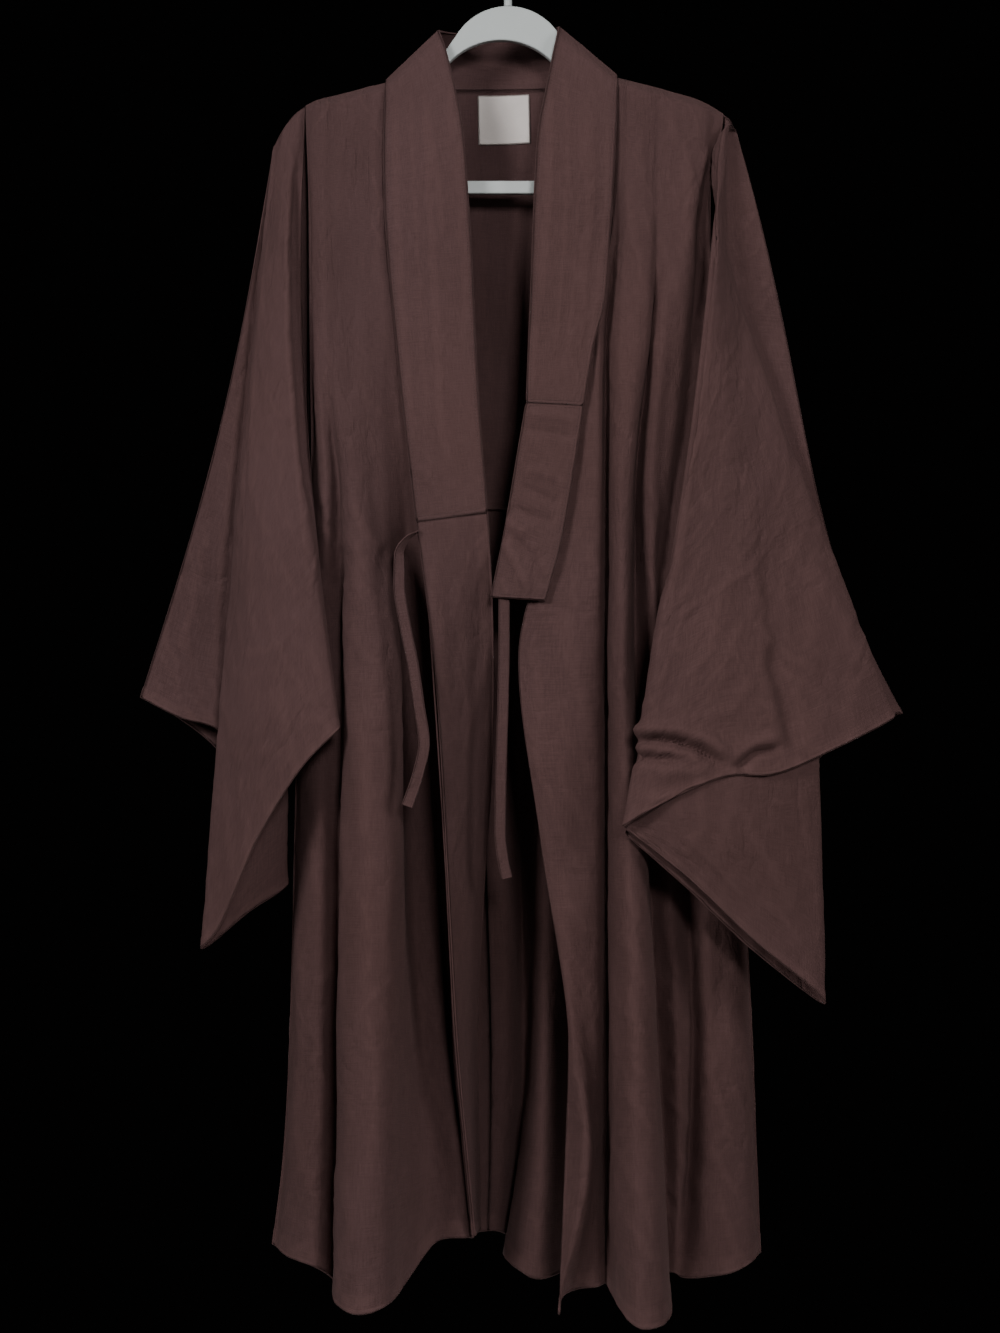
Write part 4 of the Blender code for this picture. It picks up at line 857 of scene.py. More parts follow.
@dataclass
class Cloth:
    """One cloth piece: its surface, its relief and its closed shell.

    Attributes:
        name: object's name.
        node: the solid it stands for.
        grid: surface points, (rows, columns, 3), in metres.
        way: where its outer face looks.
        thickness: wall in metres.
        creases: creases laid on it.
        steps: faces between fold lines, which numbers the columns.
        crumple: height of the fine crumple, in millimetres.
        hems: edges with a turned hem, any of "top", "bottom", "first" and "last".
        hem_width: depth of a hem, in metres.
        joined: edges pressed flat into a seam, "top" or "bottom" or both.
        pucker: height of the small waves along stitched edges, in millimetres.
        seed: choice of crumple.
    """

    name: str
    node: str
    grid: np.ndarray
    way: Way
    thickness: float = 0.0016
    creases: tuple = ()
    steps: int = 1
    crumple: float = 0.75
    hems: tuple = ()
    hem_width: float = 0.012
    joined: tuple = ()
    pucker: float = 0.0
    seed: int = 1

    def layer(self, wave: Wave, u: np.ndarray, v: np.ndarray, shift: float = 0.0) -> np.ndarray:
        """One layer of crumple over the cloth's own millimetres u across and v down."""
        value = lattice_noise(u / wave.across + v / wave.slant + shift, v / wave.down + u / wave.lean,
                              self.seed + wave.pattern)
        return wave.height * ((1 - np.abs(value)) ** wave.power if wave.power else value)

    def relief(self) -> np.ndarray:
        """Relief in millimetres: creases, crumple in long soft waves and in small dents, and puckers."""
        x, z = unfan(self.grid)
        u, v = run_length(self.grid, 1) / MM, run_length(self.grid, 0) / MM
        place = np.broadcast_to(np.arange(x.shape[1]) / self.steps, x.shape)
        patches = CALM_SHARE + (1 - CALM_SHARE) * np.clip(self.layer(PATCHES, u, v) + 0.5, 0, 1)
        dents = sum(self.layer(wave, u, v) for wave in DENTS)
        relief = self.crumple * (self.layer(SOFT_WAVE, u, v, 3 * self.seed) + dents * patches)
        side = np.minimum(u, u[:, -1:] - u)
        if self.pucker:
            along = np.where(u < u[:, -1:] / 2, 0.5, 7.5)
            waves = lattice_noise(v / PUCKER_LENGTH, along, self.seed + 31)
            relief += self.pucker * waves * np.exp(-(side / PUCKER_LENGTH) ** 2)
        edge = np.minimum(side, v)
        return (relief * np.clip(edge / CRUMPLE_FADE, 0, 1)
                + crease_relief(x, z, place, self.creases) * np.clip(edge / CREASE_FADE, 0, 1))

    def away(self) -> dict[str, np.ndarray]:
        """Distance of every point from each of the four edges, in metres."""
        u, v = run_length(self.grid, 1), run_length(self.grid, 0)
        return {"top": v, "bottom": v[-1:] - v, "first": u, "last": u[:, -1:] - u}

    def hem_share(self) -> np.ndarray:
        """1 on a turned hem and 0 elsewhere, with a short slope between, (rows, columns)."""
        away, share = self.away(), np.zeros(self.grid.shape[:2])
        for edge in self.hems:
            share = np.maximum(share, np.clip((self.hem_width - away[edge]) / HEM_SLOPE + 0.5, 0, 1))
        return share

    def join_share(self) -> np.ndarray:
        """1 at an edge pressed flat into its seam and 0 a few millimetres off it, (rows, columns)."""
        away, share = self.away(), np.zeros(self.grid.shape[:2])
        for edge in self.joined:
            share = np.maximum(share, np.exp(-(away[edge] / JOIN_REACH) ** 2))
        return share

    def build(self) -> bpy.types.Object:
        """Shell of the piece with its relief, hems, UV in metres of cloth and its rub attribute, which holds
        wear on crests and wear with a painted highlight on hems.
        """
        relief = self.relief()
        surface = self.grid + outward(self.grid, self.way) * (relief * MM)[..., None]
        self.grid = surface
        thick = self.thickness * (1 + HEM_EXTRA * self.hem_share()) * (1 - JOIN_THINNING * self.join_share())
        u = run_length(surface, 1).mean(axis=0)[None, :] + 0 * relief
        v = run_length(surface, 0).mean(axis=1)[:, None] + 0 * relief
        bend = np.gradient(np.gradient(relief, axis=1), axis=1)
        # Crests lighten with wear; hems lighten with wear and a painted highlight of the light they catch.
        wear_and_highlight = np.clip(0.5 - bend * WEAR_BEND, 0, 1) * WEAR_CREASE + HEM_WEAR_AND_HIGHLIGHT * self.hem_share()
        return shell(self.name, surface, thick, np.stack([u, v], -1), wear_and_highlight)


def shell(name: str, grid: np.ndarray, thick: np.ndarray, uv: np.ndarray,
          wear_and_highlight: np.ndarray) -> bpy.types.Object:
    """Closed shell round a surface, with a half-round rim.

    Each face lies half the thickness off the surface along its normals. Round the edge, five
    rings turn from one face to the other about the edge, by steps of 45 degrees.

    Args:
        name: object's name.
        grid: surface points, (rows, columns, 3).
        thick: wall at each point, (rows, columns).
        uv: coordinates on the cloth in metres, (rows, columns, 2).
        wear_and_highlight: wear on crests, and wear with a painted highlight on hems, at each point, (rows,
            columns).

    Returns:
        The object, linked to the scene.
    """
    rows, columns, _ = grid.shape
    index = np.arange(rows * columns).reshape(rows, columns)
    normal = normals(grid)
    half = thick[..., None] / 2
    loop = np.concatenate([index[0, :-1], index[:-1, -1], index[-1, :0:-1], index[:0:-1, 0]])
    out = np.zeros_like(grid)
    out[0] += unit(grid[0] - grid[1])
    out[-1] += unit(grid[-1] - grid[-2])
    out[:, 0] += unit(grid[:, 0] - grid[:, 1])
    out[:, -1] += unit(grid[:, -1] - grid[:, -2])
    out = unit(out)
    grid, normal, out, half = (a.reshape(-1, a.shape[-1]) for a in (grid, normal, out, half))
    turns = np.radians([45.0, 0.0, -45.0])[:, None, None]
    rim = grid[loop] + half[loop] * (np.cos(turns) * out[loop] + np.sin(turns) * normal[loop])
    points = np.concatenate([grid + half * normal, grid - half * normal, rim.reshape(-1, 3)])
    count, around = rows * columns, np.arange(len(loop))
    rings = np.stack([loop] + [2 * count + k * len(loop) + around for k in range(3)] + [loop + count])
    face = np.stack([index[:-1, :-1], index[1:, :-1], index[1:, 1:], index[:-1, 1:]], -1).reshape(-1, 4)
    after = np.roll(rings, -1, axis=1)
    rim_face = np.stack([rings[:-1], after[:-1], after[1:], rings[1:]], -1).reshape(-1, 4)
    faces = np.concatenate([face[:, ::-1], face + count, rim_face])
    coords = np.concatenate([uv.reshape(-1, 2)] * 2 + [uv.reshape(-1, 2)[loop]] * 3)
    worn_and_lit = np.concatenate([wear_and_highlight.ravel()] * 2 + [wear_and_highlight.ravel()[loop]] * 3)
    return mesh_object(name, points, faces, coords, worn_and_lit)


def mesh_object(name: str, points: np.ndarray, faces: np.ndarray, uv: Optional[np.ndarray] = None,
                wear_and_highlight: Optional[np.ndarray] = None) -> bpy.types.Object:
    """Object at the origin from arrays, its faces turned outwards by the sign of its volume.

    Args:
        name: object's name.
        points: (n, 3) in metres.
        faces: (m, corners) indices.
        uv: coordinates for each point.
        wear_and_highlight: wear, with a painted highlight on hems, for each point.

    Returns:
        The object, linked to the scene.
    """
    corner = points[faces]
    volume = np.einsum("ij,ij->i", corner[:, 0], np.cross(corner[:, 1], corner[:, 2])).sum()
    if faces.shape[1] == 4:
        volume += np.einsum("ij,ij->i", corner[:, 0], np.cross(corner[:, 2], corner[:, 3])).sum()
    if volume < 0:
        faces = faces[:, ::-1]
    mesh = bpy.data.meshes.new(name)
    mesh.vertices.add(len(points))
    mesh.vertices.foreach_set("co", points.astype(np.float32).ravel())
    mesh.loops.add(faces.size)
    mesh.loops.foreach_set("vertex_index", faces.astype(np.int32).ravel())
    mesh.polygons.add(len(faces))
    mesh.polygons.foreach_set("loop_start", np.arange(0, faces.size, faces.shape[1], dtype=np.int32))
    mesh.update(calc_edges=True)
    if uv is not None:
        layer = mesh.uv_layers.new(name="cloth")
        layer.data.foreach_set("uv", uv[faces.ravel()].astype(np.float32).ravel())
    if wear_and_highlight is not None:
        worn_and_lit = mesh.attributes.new("wear_and_highlight", "FLOAT", "POINT")
        worn_and_lit.data.foreach_set("value", wear_and_highlight.astype(np.float32))
    mesh.shade_smooth()
    piece = bpy.data.objects.new(name, mesh)
    bpy.context.scene.collection.objects.link(piece)
    return piece


def stitches(name: str, line: np.ndarray, out: np.ndarray, pitch: float = 0.0034, length: float = 0.0024,
             wide: float = 0.00055) -> bpy.types.Object:
    """Row of stitches along a line: each a small eight-sided lozenge that lies along the seam.

    The line is cut at equal steps of its length. Each stitch has a point at each end and four
    round its middle, half sunk in the cloth.

    Args:
        name: object's name.
        line: the seam's points on the outer face, (n, 3).
        out: outward direction at each, (n, 3).
        pitch: from one stitch to the next.
        length: of a stitch.
        wide: width of the thread.

    Returns:
        The object, linked to the scene.
    """
    run = np.concatenate([[0], np.cumsum(np.linalg.norm(np.diff(line, axis=0), axis=1))])
    at = np.arange(pitch, run[-1] - pitch, pitch)
    place = np.stack([np.interp(at, run, line[:, k]) for k in range(3)], -1)
    along = unit(np.stack([np.interp(at + pitch / 4, run, line[:, k]) for k in range(3)], -1) - place)
    up = unit(np.stack([np.interp(at, run, out[:, k]) for k in range(3)], -1))
    side = unit(np.cross(along, up))
    shape = ((-length / 2, 0, 0), (0, wide / 2, 0), (0, 0, wide / 2), (0, -wide / 2, 0), (0, 0, -wide / 2),
             (length / 2, 0, 0))
    points = np.stack([place + along * a + side * s + up * h for a, s, h in shape], axis=1).reshape(-1, 3)
    one = np.array([(0, 1, 2), (0, 2, 3), (0, 3, 4), (0, 4, 1), (5, 2, 1), (5, 3, 2), (5, 4, 3), (5, 1, 4)])
    faces = (one[None] + 6 * np.arange(len(at))[:, None, None]).reshape(-1, 3)
    return mesh_object(name, points, faces)


def beside_edge(grid: np.ndarray, thickness: float, way: Way, inset: float, edge: str) -> tuple:
    """Line on a surface's outer face at a fixed distance in from one edge.

    Along each row, the place is found where the run from the edge reaches the inset; for a
    bottom or top edge, along each column.

    Args:
        grid: surface, (rows, columns, 3).
        thickness: of its wall.
        way: where its outer face looks.
        inset: distance from the edge in metres.
        edge: "first", "last", "top" or "bottom".

    Returns:
        The line's points and the outward direction at each.
    """
    turned = {"first": lambda a: a, "last": lambda a: a[:, ::-1], "top": lambda a: a.transpose(1, 0, 2),
              "bottom": lambda a: a.transpose(1, 0, 2)[:, ::-1]}[edge]
    points, facing = turned(grid), turned(outward(grid, way))
    run = run_length(points, 1)
    k = np.clip((run < inset).sum(axis=1), 1, run.shape[1] - 1)
    row = np.arange(len(k))
    share = ((inset - run[row, k - 1]) / (run[row, k] - run[row, k - 1]))[:, None]
    line = points[row, k - 1] * (1 - share) + points[row, k] * share
    out = unit(facing[row, k - 1] * (1 - share) + facing[row, k] * share)
    return line + out * thickness / 2, out


# A full turn for sines, and ribs to a metre of the label.
TURN = 6.2832
LABEL_RIBS = 2400


class Wire:
    """A shader socket that can be used in Python arithmetic; each operation adds a Math node."""

    def __init__(self, tree: bpy.types.NodeTree, socket: bpy.types.NodeSocket) -> None:
        """Keep the tree and the socket."""
        self.tree, self.socket = tree, socket

    def math(self, operation: str, *values: object) -> "Wire":
        """Math node of this socket and the given values."""
        return wired(self.tree, "ShaderNodeMath", {"operation": operation}, dict(enumerate((self, *values))))

    def __add__(self, other: object) -> "Wire":
        """Sum."""
        return self.math("ADD", other)

    def __sub__(self, other: object) -> "Wire":
        """Difference."""
        return self.math("SUBTRACT", other)

    def __mul__(self, other: object) -> "Wire":
        """Product."""
        return self.math("MULTIPLY", other)

    def clip(self) -> "Wire":
        """Value held between 0 and 1."""
        return self.math("MAXIMUM", 0.0).math("MINIMUM", 1.0)


def plug(tree: bpy.types.NodeTree, made: bpy.types.Node, inputs: dict) -> None:
    """Link or set a node's inputs, by socket name or number to a Wire, number or tuple."""
    for name, value in inputs.items():
        if isinstance(value, Wire):
            tree.links.new(value.socket, made.inputs[name])
        else:
            made.inputs[name].default_value = value


def node(tree: bpy.types.NodeTree, kind: str, settings: dict, inputs: dict) -> bpy.types.Node:
    """Add a node: its settings, such as a Math node's operation, are set first, then its inputs."""
    made = tree.nodes.new(kind)
    for name, value in settings.items():
        setattr(made, name, value)
    plug(tree, made, inputs)
    return made


def wired(tree: bpy.types.NodeTree, kind: str, settings: dict, inputs: dict, output: object = 0) -> "Wire":
    """Add a node and give one of its outputs."""
    return Wire(tree, node(tree, kind, settings, inputs).outputs[output])


@dataclass(frozen=True)
class Finish:
    """A surface finish; build() makes its material once.

    Attributes:
        name: material's name.
        colour: its usual colour, linear RGB.
    """

    name: str
    colour: tuple

    def build(self) -> bpy.types.Material:
        """The material, made at its first use."""
        found = bpy.data.materials.get(self.name)
        if found:
            return found
        made = bpy.data.materials.new(self.name)
        made.use_nodes = True
        made.diffuse_color = (*self.colour, 1.0)
        self.fill(made.node_tree, made.node_tree.nodes["Principled BSDF"])
        return made

    def fill(self, tree: bpy.types.NodeTree, shader: bpy.types.Node) -> None:
        """Add the finish's nodes."""
        raise NotImplementedError

    @staticmethod
    def noise(tree: bpy.types.NodeTree, vector: Wire, scale: float, detail: float = 2.0) -> Wire:
        """Noise node's value, 0 to 1."""
        return wired(tree, "ShaderNodeTexNoise", {}, {"Vector": vector, "Scale": scale, "Detail": detail})

    @staticmethod
    def stretched(tree: bpy.types.NodeTree, vector: Wire, scale: tuple) -> Wire:
        """Coordinates scaled apart on each axis."""
        return wired(tree, "ShaderNodeVectorMath", {"operation": "MULTIPLY"}, {0: vector, 1: scale})

    @staticmethod
    def between(tree: bpy.types.NodeTree, share: Wire, low: object, high: object) -> Wire:
        """Colour from low to high by a share; either may be a Wire or linear RGB."""
        low, high = (end if isinstance(end, Wire) else (*end, 1.0) for end in (low, high))
        return wired(tree, "ShaderNodeMix", {"data_type": "RGBA"}, {0: share, 6: low, 7: high}, 2)

    @staticmethod
    def bump(tree: bpy.types.NodeTree, strength: float, depth: float, height: Wire, **under: Wire) -> Wire:
        """Bump of a height, in metres of depth, over another normal if one is given."""
        return wired(tree, "ShaderNodeBump", {},
                     {"Strength": strength, "Distance": depth, "Height": height, **under})

    @staticmethod
    def place(tree: bpy.types.NodeTree) -> Wire:
        """Object coordinates, which are metres in the room."""
        return wired(tree, "ShaderNodeTexCoord", {}, {}, "Object")

    @staticmethod
    def cloth(tree: bpy.types.NodeTree) -> tuple[Wire, Wire, Wire]:
        """Metres along the cloth as a vector, and across and down it."""
        along = wired(tree, "ShaderNodeUVMap", {"uv_map": "cloth"}, {})
        parts = node(tree, "ShaderNodeSeparateXYZ", {}, {0: along})
        return along, Wire(tree, parts.outputs[0]), Wire(tree, parts.outputs[1])

    def toned(self, share: float) -> tuple:
        """The usual colour made lighter or darker."""
        return tuple(c * share for c in self.colour)


@dataclass(frozen=True)
class Linen(Finish):
    """Matt plain-woven cloth with slubs, soft uneven dye, crests lightened by wear and hems lightened by wear
    and a painted highlight.

    Attributes:
        dark: colour at the low end of the tone from slubs, fuzz and dye, and painted shade in the hollows of
            the weave.
        rubbed_and_lit: colour of crests lightened by wear, and of hems lightened by wear and a painted
            highlight.
        mauve: colour of the lighter, cooler patches of the dye.
        threads: threads to a metre.
        relief: depth of the weave in metres.
        crumple: depth of the fine crumple in metres.
    """

    dark: tuple = (0.045, 0.0225, 0.021)
    rubbed_and_lit: tuple = (0.13, 0.068, 0.064)
    mauve: tuple = (0.121, 0.067, 0.069)
    threads: float = 1150.0
    relief: float = 0.00022
    crumple: float = 0.0016

    def fill(self, tree: bpy.types.NodeTree, shader: bpy.types.Node) -> None:
        """Warp and weft ribs with slubs, dye patches, crests lightened by wear, hems lightened by wear and a
        painted highlight, and a soft nap.
        """
        cloth, u, v = self.cloth(tree)
        place = self.place(tree)
        wander = self.noise(tree, cloth, 160.0) * 0.0011
        warp = ((u + wander) * (self.threads * TURN)).math("SINE")
        weft = ((v - wander) * (self.threads * TURN)).math("SINE")
        weave = warp * weft * 0.5 + 0.5
        slub_down = self.noise(tree, self.stretched(tree, cloth, (1300.0, 60.0, 1.0)), 1.0, 3.0)
        slub_over = self.noise(tree, self.stretched(tree, cloth, (60.0, 1300.0, 1.0)), 1.0, 3.0)
        slubs = ((slub_down + slub_over) * 2.4 - 1.9).clip()
        fuzz = self.noise(tree, cloth, 620.0, 3.0)
        dye = (self.noise(tree, place, 7.0, 4.0) * 1.8 - 0.4).clip()
        tint = (self.noise(tree, place, 2.4, 2.0) * 2.4 - 0.8).clip()
        wear_and_highlight = wired(tree, "ShaderNodeAttribute", {"attribute_name": "wear_and_highlight"}, {}, "Fac")
        # The weave term darkens the hollows between threads, following the weave's bump height: painted shade
        # at thread scale.
        tone = (slubs * 0.2 + fuzz * 0.3 + weave * 0.1 + dye * 0.22).clip()
        light = self.between(tree, tint, self.toned(1.5), self.mauve)
        base = self.between(tree, tone, self.dark, light)
        # Lighter colour on crests from wear, and on hems from wear and a painted highlight.
        worn_and_lit = self.between(tree, (wear_and_highlight * 0.5 - 0.15).clip(), base, self.rubbed_and_lit)
        crush = self.noise(tree, self.stretched(tree, cloth, (30.0, 17.0, 1.0)), 1.0, 4.0)
        lines = ((crush - 0.5).math("ABSOLUTE") * -11.0 + 1.0).clip()
        patch = (self.noise(tree, cloth, 9.0) * 3.0 - 1.1).clip()
        crumple = self.bump(tree, 0.8, self.crumple, lines * patch + crush * 0.8)
        height = weave * 0.55 + slubs * 1.1 + fuzz * 0.5
        plug(tree, shader, {
            "Base Color": worn_and_lit, "Roughness": slubs * -0.08 + 0.94,
            "Normal": self.bump(tree, 0.75, self.relief, height, Normal=crumple),
            "Sheen Weight": 0.06, "Sheen Tint": (0.6, 0.36, 0.34, 1.0), "Sheen Roughness": 0.5,
            "Specular IOR Level": 0.18})


@dataclass(frozen=True)
class Thread(Finish):
    """Twisted sewing thread."""

    def fill(self, tree: bpy.types.NodeTree, shader: bpy.types.Node) -> None:
        """Fine twist in colour."""
        twist = self.noise(tree, self.place(tree), 2600.0)
        base = self.between(tree, twist, self.toned(0.6), self.toned(1.3))
        plug(tree, shader, {"Base Color": base, "Roughness": 0.75})


@dataclass(frozen=True)
class LabelWeave(Finish):
    """Close satin-woven label, pale, slightly and unevenly soiled."""

    def fill(self, tree: bpy.types.NodeTree, shader: bpy.types.Node) -> None:
        """Fine ribs across, uneven pale colour and a low satin gloss."""
        cloth, _, v = self.cloth(tree)
        ribs = (v * (LABEL_RIBS * TURN)).math("SINE") * 0.5 + 0.5
        grain = self.noise(tree, self.stretched(tree, cloth, (160.0, 900.0, 1.0)), 1.0, 3.0)
        stain = (self.noise(tree, cloth, 55.0, 3.0) * 1.6 - 0.3).clip()
        tone = (ribs * 0.12 + grain * 0.35 + stain * 0.45).clip()
        plug(tree, shader, {
            "Base Color": self.between(tree, tone, self.toned(0.82), self.colour),
            "Roughness": grain * 0.2 + 0.5, "Normal": self.bump(tree, 0.5, 0.0001, ribs + grain)})


@dataclass(frozen=True)
class Moulding(Finish):
    """Pale moulded plastic with a faint grain, dulled and scuffed by use."""

    def fill(self, tree: bpy.types.NodeTree, shader: bpy.types.Node) -> None:
        """Uneven grey, fine grain and scuffs in the roughness."""
        place = self.place(tree)
        cloud = self.noise(tree, place, 18.0, 4.0)
        grain = self.noise(tree, place, 900.0, 2.0)
        streaks = self.noise(tree, self.stretched(tree, place, (500.0, 500.0, 60.0)), 1.0, 3.0)
        scuff = (streaks * 3.0 - 1.7).clip()
        tone = (cloud * 0.7 + scuff * 0.3).clip()
        plug(tree, shader, {
            "Base Color": self.between(tree, tone, self.toned(0.86), self.colour),
            "Roughness": cloud * 0.14 + scuff * 0.2 + 0.3,
            "Normal": self.bump(tree, 0.35, 0.0001, grain + scuff)})


@dataclass(frozen=True)
class Plain(Finish):
    """Even matt finish of the floor."""

    def fill(self, tree: bpy.types.NodeTree, shader: bpy.types.Node) -> None:
        """One colour with a soft cloud."""
        base = self.between(tree, self.noise(tree, self.place(tree), 2.0), self.toned(0.96), self.colour)
        plug(tree, shader, {"Base Color": base, "Roughness": 0.9})


ROBE_LINEN = Linen("robe_linen", (0.085, 0.0435, 0.0415))
BAND_LINEN = Linen("band_linen", (0.088, 0.0455, 0.0435), threads=1050.0)
THREAD = Thread("robe_thread", (0.075, 0.038, 0.036))
LABEL_THREAD = Thread("label_thread", (0.6, 0.54, 0.5))
LABEL_WEAVE = LabelWeave("label_weave", (0.78, 0.70, 0.66))
PALE_PLASTIC = Moulding("pale_plastic", (0.50, 0.53, 0.52))
FLOOR = Plain("pale_floor", (0.55, 0.55, 0.54))


def hand_over(piece: bpy.types.Object, finish: Finish, slot: str, *nodes: str) -> None:
    """Give a piece its finish and its body, hide the solids it stands for, and report it."""
    piece.data.materials.clear()
    piece.data.materials.append(finish.build())
    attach(piece, "root")
    if nodes:
        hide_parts(*nodes)
    LOG.info("%s: %d faces", piece.name, len(piece.data.polygons))


@dataclass
class Robe:
    """The robe's cloth: body, collar and front bands, sleeves, ties and label.

    Attributes:
        rows: surface rows down a body panel.
        steps: faces between fold lines of the body.
        sleeve_rows: surface rows down a sleeve.
        sleeve_steps: faces between fold lines of a sleeve.
        bag_rows: surface rows down the left sleeve's bag.
        band_columns: columns across a collar band or the front strip.
        cloth: wall of single cloth.
        band: wall of a folded band.
        tie: wall of a tie.
        hem: depth of the body's hem.
        seam_inset: distance of a stitched line from its edge.
    """

    rows: int = 320
    steps: int = 6
    sleeve_rows: int = 230
    sleeve_steps: int = 12
    bag_rows: int = 70
    band_columns: int = 26
    cloth: float = 0.0016
    band: float = 0.0026
    tie: float = 0.0012
    hem: float = 0.016
    seam_inset: float = 0.003

    def lay(self, cloth: Cloth, finish: Finish, cut: tuple, held: str, rests_on: list,
            area: Optional[float] = None, seams: tuple = ()) -> bpy.types.Object:
        """Build one piece of cloth and sew its stitched lines.

        Args:
            cloth: the piece.
            finish: its finish.
            cut: width and length it was cut to, in metres; not used.
            held: how it is held; not used.
            rests_on: what it hangs from; not used.
            area: flat area where the cut is no rectangle; not used.
            seams: stitched lines as (edge, inset in metres).

        Returns:
            The piece.
        """
        piece = cloth.build()
        hand_over(piece, finish, "cloth", cloth.node)
        for edge, inset in seams:
            line, out = beside_edge(cloth.grid, cloth.thickness * STITCH_RISE, cloth.way, inset, edge)
            name = f"{cloth.name}_stitches_{edge}_{round(inset / MM)}"
            hand_over(stitches(name, line, out), THREAD, "cloth")
        return piece

    def panel(self, name: str, side: str, grid: np.ndarray, way: Way, creases: tuple, seed: int) -> None:
        """One half of the back or one front: a hemmed cloth with its hem stitched."""
        self.lay(Cloth(f"{name}_cloth_{side}", f"{name}_panel_{side}", grid, way, self.cloth, creases,
                       self.steps, hems=("bottom",), hem_width=self.hem, seed=seed),
                 ROBE_LINEN, *CUTS[f"{name}_{side}"], seams=(("bottom", self.hem - STITCH_INSET),))

    def build_body(self) -> None:
        """Back and front panels, with the yoke inside the back."""
        back = across(body_lines(BACK, self.rows), self.steps)
        spine = round(self.steps * SPINE_FOLD)
        halves = (("right", back[:, :spine + 1].copy(), -1, -2), ("left", back[:, spine:].copy(), 0, 1))
        for side, half, edge, beside in halves:
            half[:, edge] += unit(half[:, beside] - half[:, edge]) * SEAM_SHARE
            self.panel("back", side, half, Way.BACK, BACK_CREASES, 3)
        fronts = (("right", RIGHT_FRONT, RIGHT_CREASES, 5), ("left", LEFT_FRONT, LEFT_CREASES, 8))
        for side, folds, creases, seed in fronts:
            grid = across(body_lines(folds, self.rows), self.steps)
            self.panel("front", side, grid, Way.FRONT, creases, seed)
        self.build_yoke(back)

    def build_yoke(self, back: np.ndarray) -> None:
        """Yoke that lines the upper back: the back's own points, moved in and cut at its lower edge."""
        first, last = (self.steps * k for k in YOKE_FOLDS)
        part = back[:, first:last + 1]
        depth = part[:, part.shape[1] // 2, 2]
        at = np.interp(np.linspace(-depth[10], -YOKE_HEM * MM, 96), -depth, np.arange(len(depth)))
        low, share = np.floor(at).astype(int), (at - np.floor(at))[:, None, None]
        inner = part + normals(part) * -YOKE_LIFT
        inner = inner[low] * (1 - share) + inner[low + 1] * share
        yoke = Cloth("yoke_cloth", "back_yoke", inner, Way.FRONT, self.cloth, YOKE_CREASES, self.steps,
                     crumple=0.25, hems=("bottom",), hem_width=0.01, seed=11)
        self.lay(yoke, ROBE_LINEN, *CUTS["yoke"], seams=(("bottom", 0.008),))
        self.build_label(yoke.grid)

    def build_label(self, yoke: np.ndarray) -> None:
        """Bare woven label on the yoke, its edges turned under and stitched all round."""
        rows, columns = 40, 42
        x = np.linspace(*LABEL_X, columns)[None, :] * MM
        z = np.linspace(*LABEL_Z, rows)[:, None] * MM
        at_x, at_z = x - LABEL_TILT * (z - z[0]), z + LABEL_TILT * (x - x[:, :1])
        flat = yoke.reshape(-1, 3)
        gap = (at_x[..., None] - flat[:, 0]) ** 2 + (at_z[..., None] - flat[:, 2]) ** 2
        weight = np.exp(-gap / LABEL_SPREAD ** 2)
        depth = (weight * flat[:, 1]).sum(-1) / weight.sum(-1)
        grid = np.stack([at_x, depth - LABEL_LIFT, at_z], -1)
        label = Cloth("woven_label", "label", grid, Way.FRONT, 0.001, (), 1, crumple=0.18,
                      hems=("top", "bottom", "first", "last"), hem_width=0.0035, seed=13)
        piece = label.build()
        hand_over(piece, LABEL_WEAVE, "label", "label")
        for edge in label.hems:
            line, out = beside_edge(label.grid, 0.0012, Way.FRONT, 0.002, edge)
            row = stitches(f"label_stitches_{edge}", line, out, pitch=0.0026, length=0.0018, wide=0.0004)
            hand_over(row, LABEL_THREAD, "label")

    def build_collar(self) -> None:
        """Collar round the neck and the two front bands with their lower pieces."""
        both = (("first", self.seam_inset), ("last", self.seam_inset))
        pieces = (
            ("collar_back_cloth", "collar_back", COLLAR_BACK, Way.BACK, 0.0, 110, "collar", both, (),
             COLLAR_CREASES),
            ("collar_cloth_right", "collar_band_right", COLLAR_RIGHT, Way.FRONT, BAND_BELLY, 170,
             "band_right", both + (("bottom", 0.004),), ("bottom",), BAND_CREASES),
            ("collar_cloth_left", "collar_band_left", COLLAR_LEFT, Way.FRONT, BAND_BELLY, 130,
             "band_left", both + (("bottom", 0.003),), ("bottom",), BAND_CREASES),
            ("collar_end_cloth", "collar_end_left", COLLAR_LEFT_END, Way.FRONT, BAND_BELLY, 90,
             "band_end", both + (("top", 0.003), ("bottom", 0.003)), ("top",), BAND_CREASES),
        )
        for name, solid, stations, way, belly, count, cut, seams, joined, creases in pieces:
            grid = strip_lines(stations, count, self.band_columns, belly)
            self.lay(Cloth(name, solid, grid, way, self.band, creases, 1, crumple=0.3, joined=joined,
                           pucker=0.35, seed=17),
                     BAND_LINEN, *CUTS[cut], seams=seams)
        strip = strip_lines(STRIP_RIGHT, 230, self.band_columns, STRIP_BELLY)
        self.lay(Cloth("front_strip_cloth", "front_strip_right", strip, Way.FRONT, self.cloth,
                       STRIP_CREASES, 1, crumple=0.55, hems=("last", "bottom"), joined=("top",),
                       pucker=0.4, seed=19),
                 ROBE_LINEN, *CUTS["strip"], seams=(("last", 0.01),))

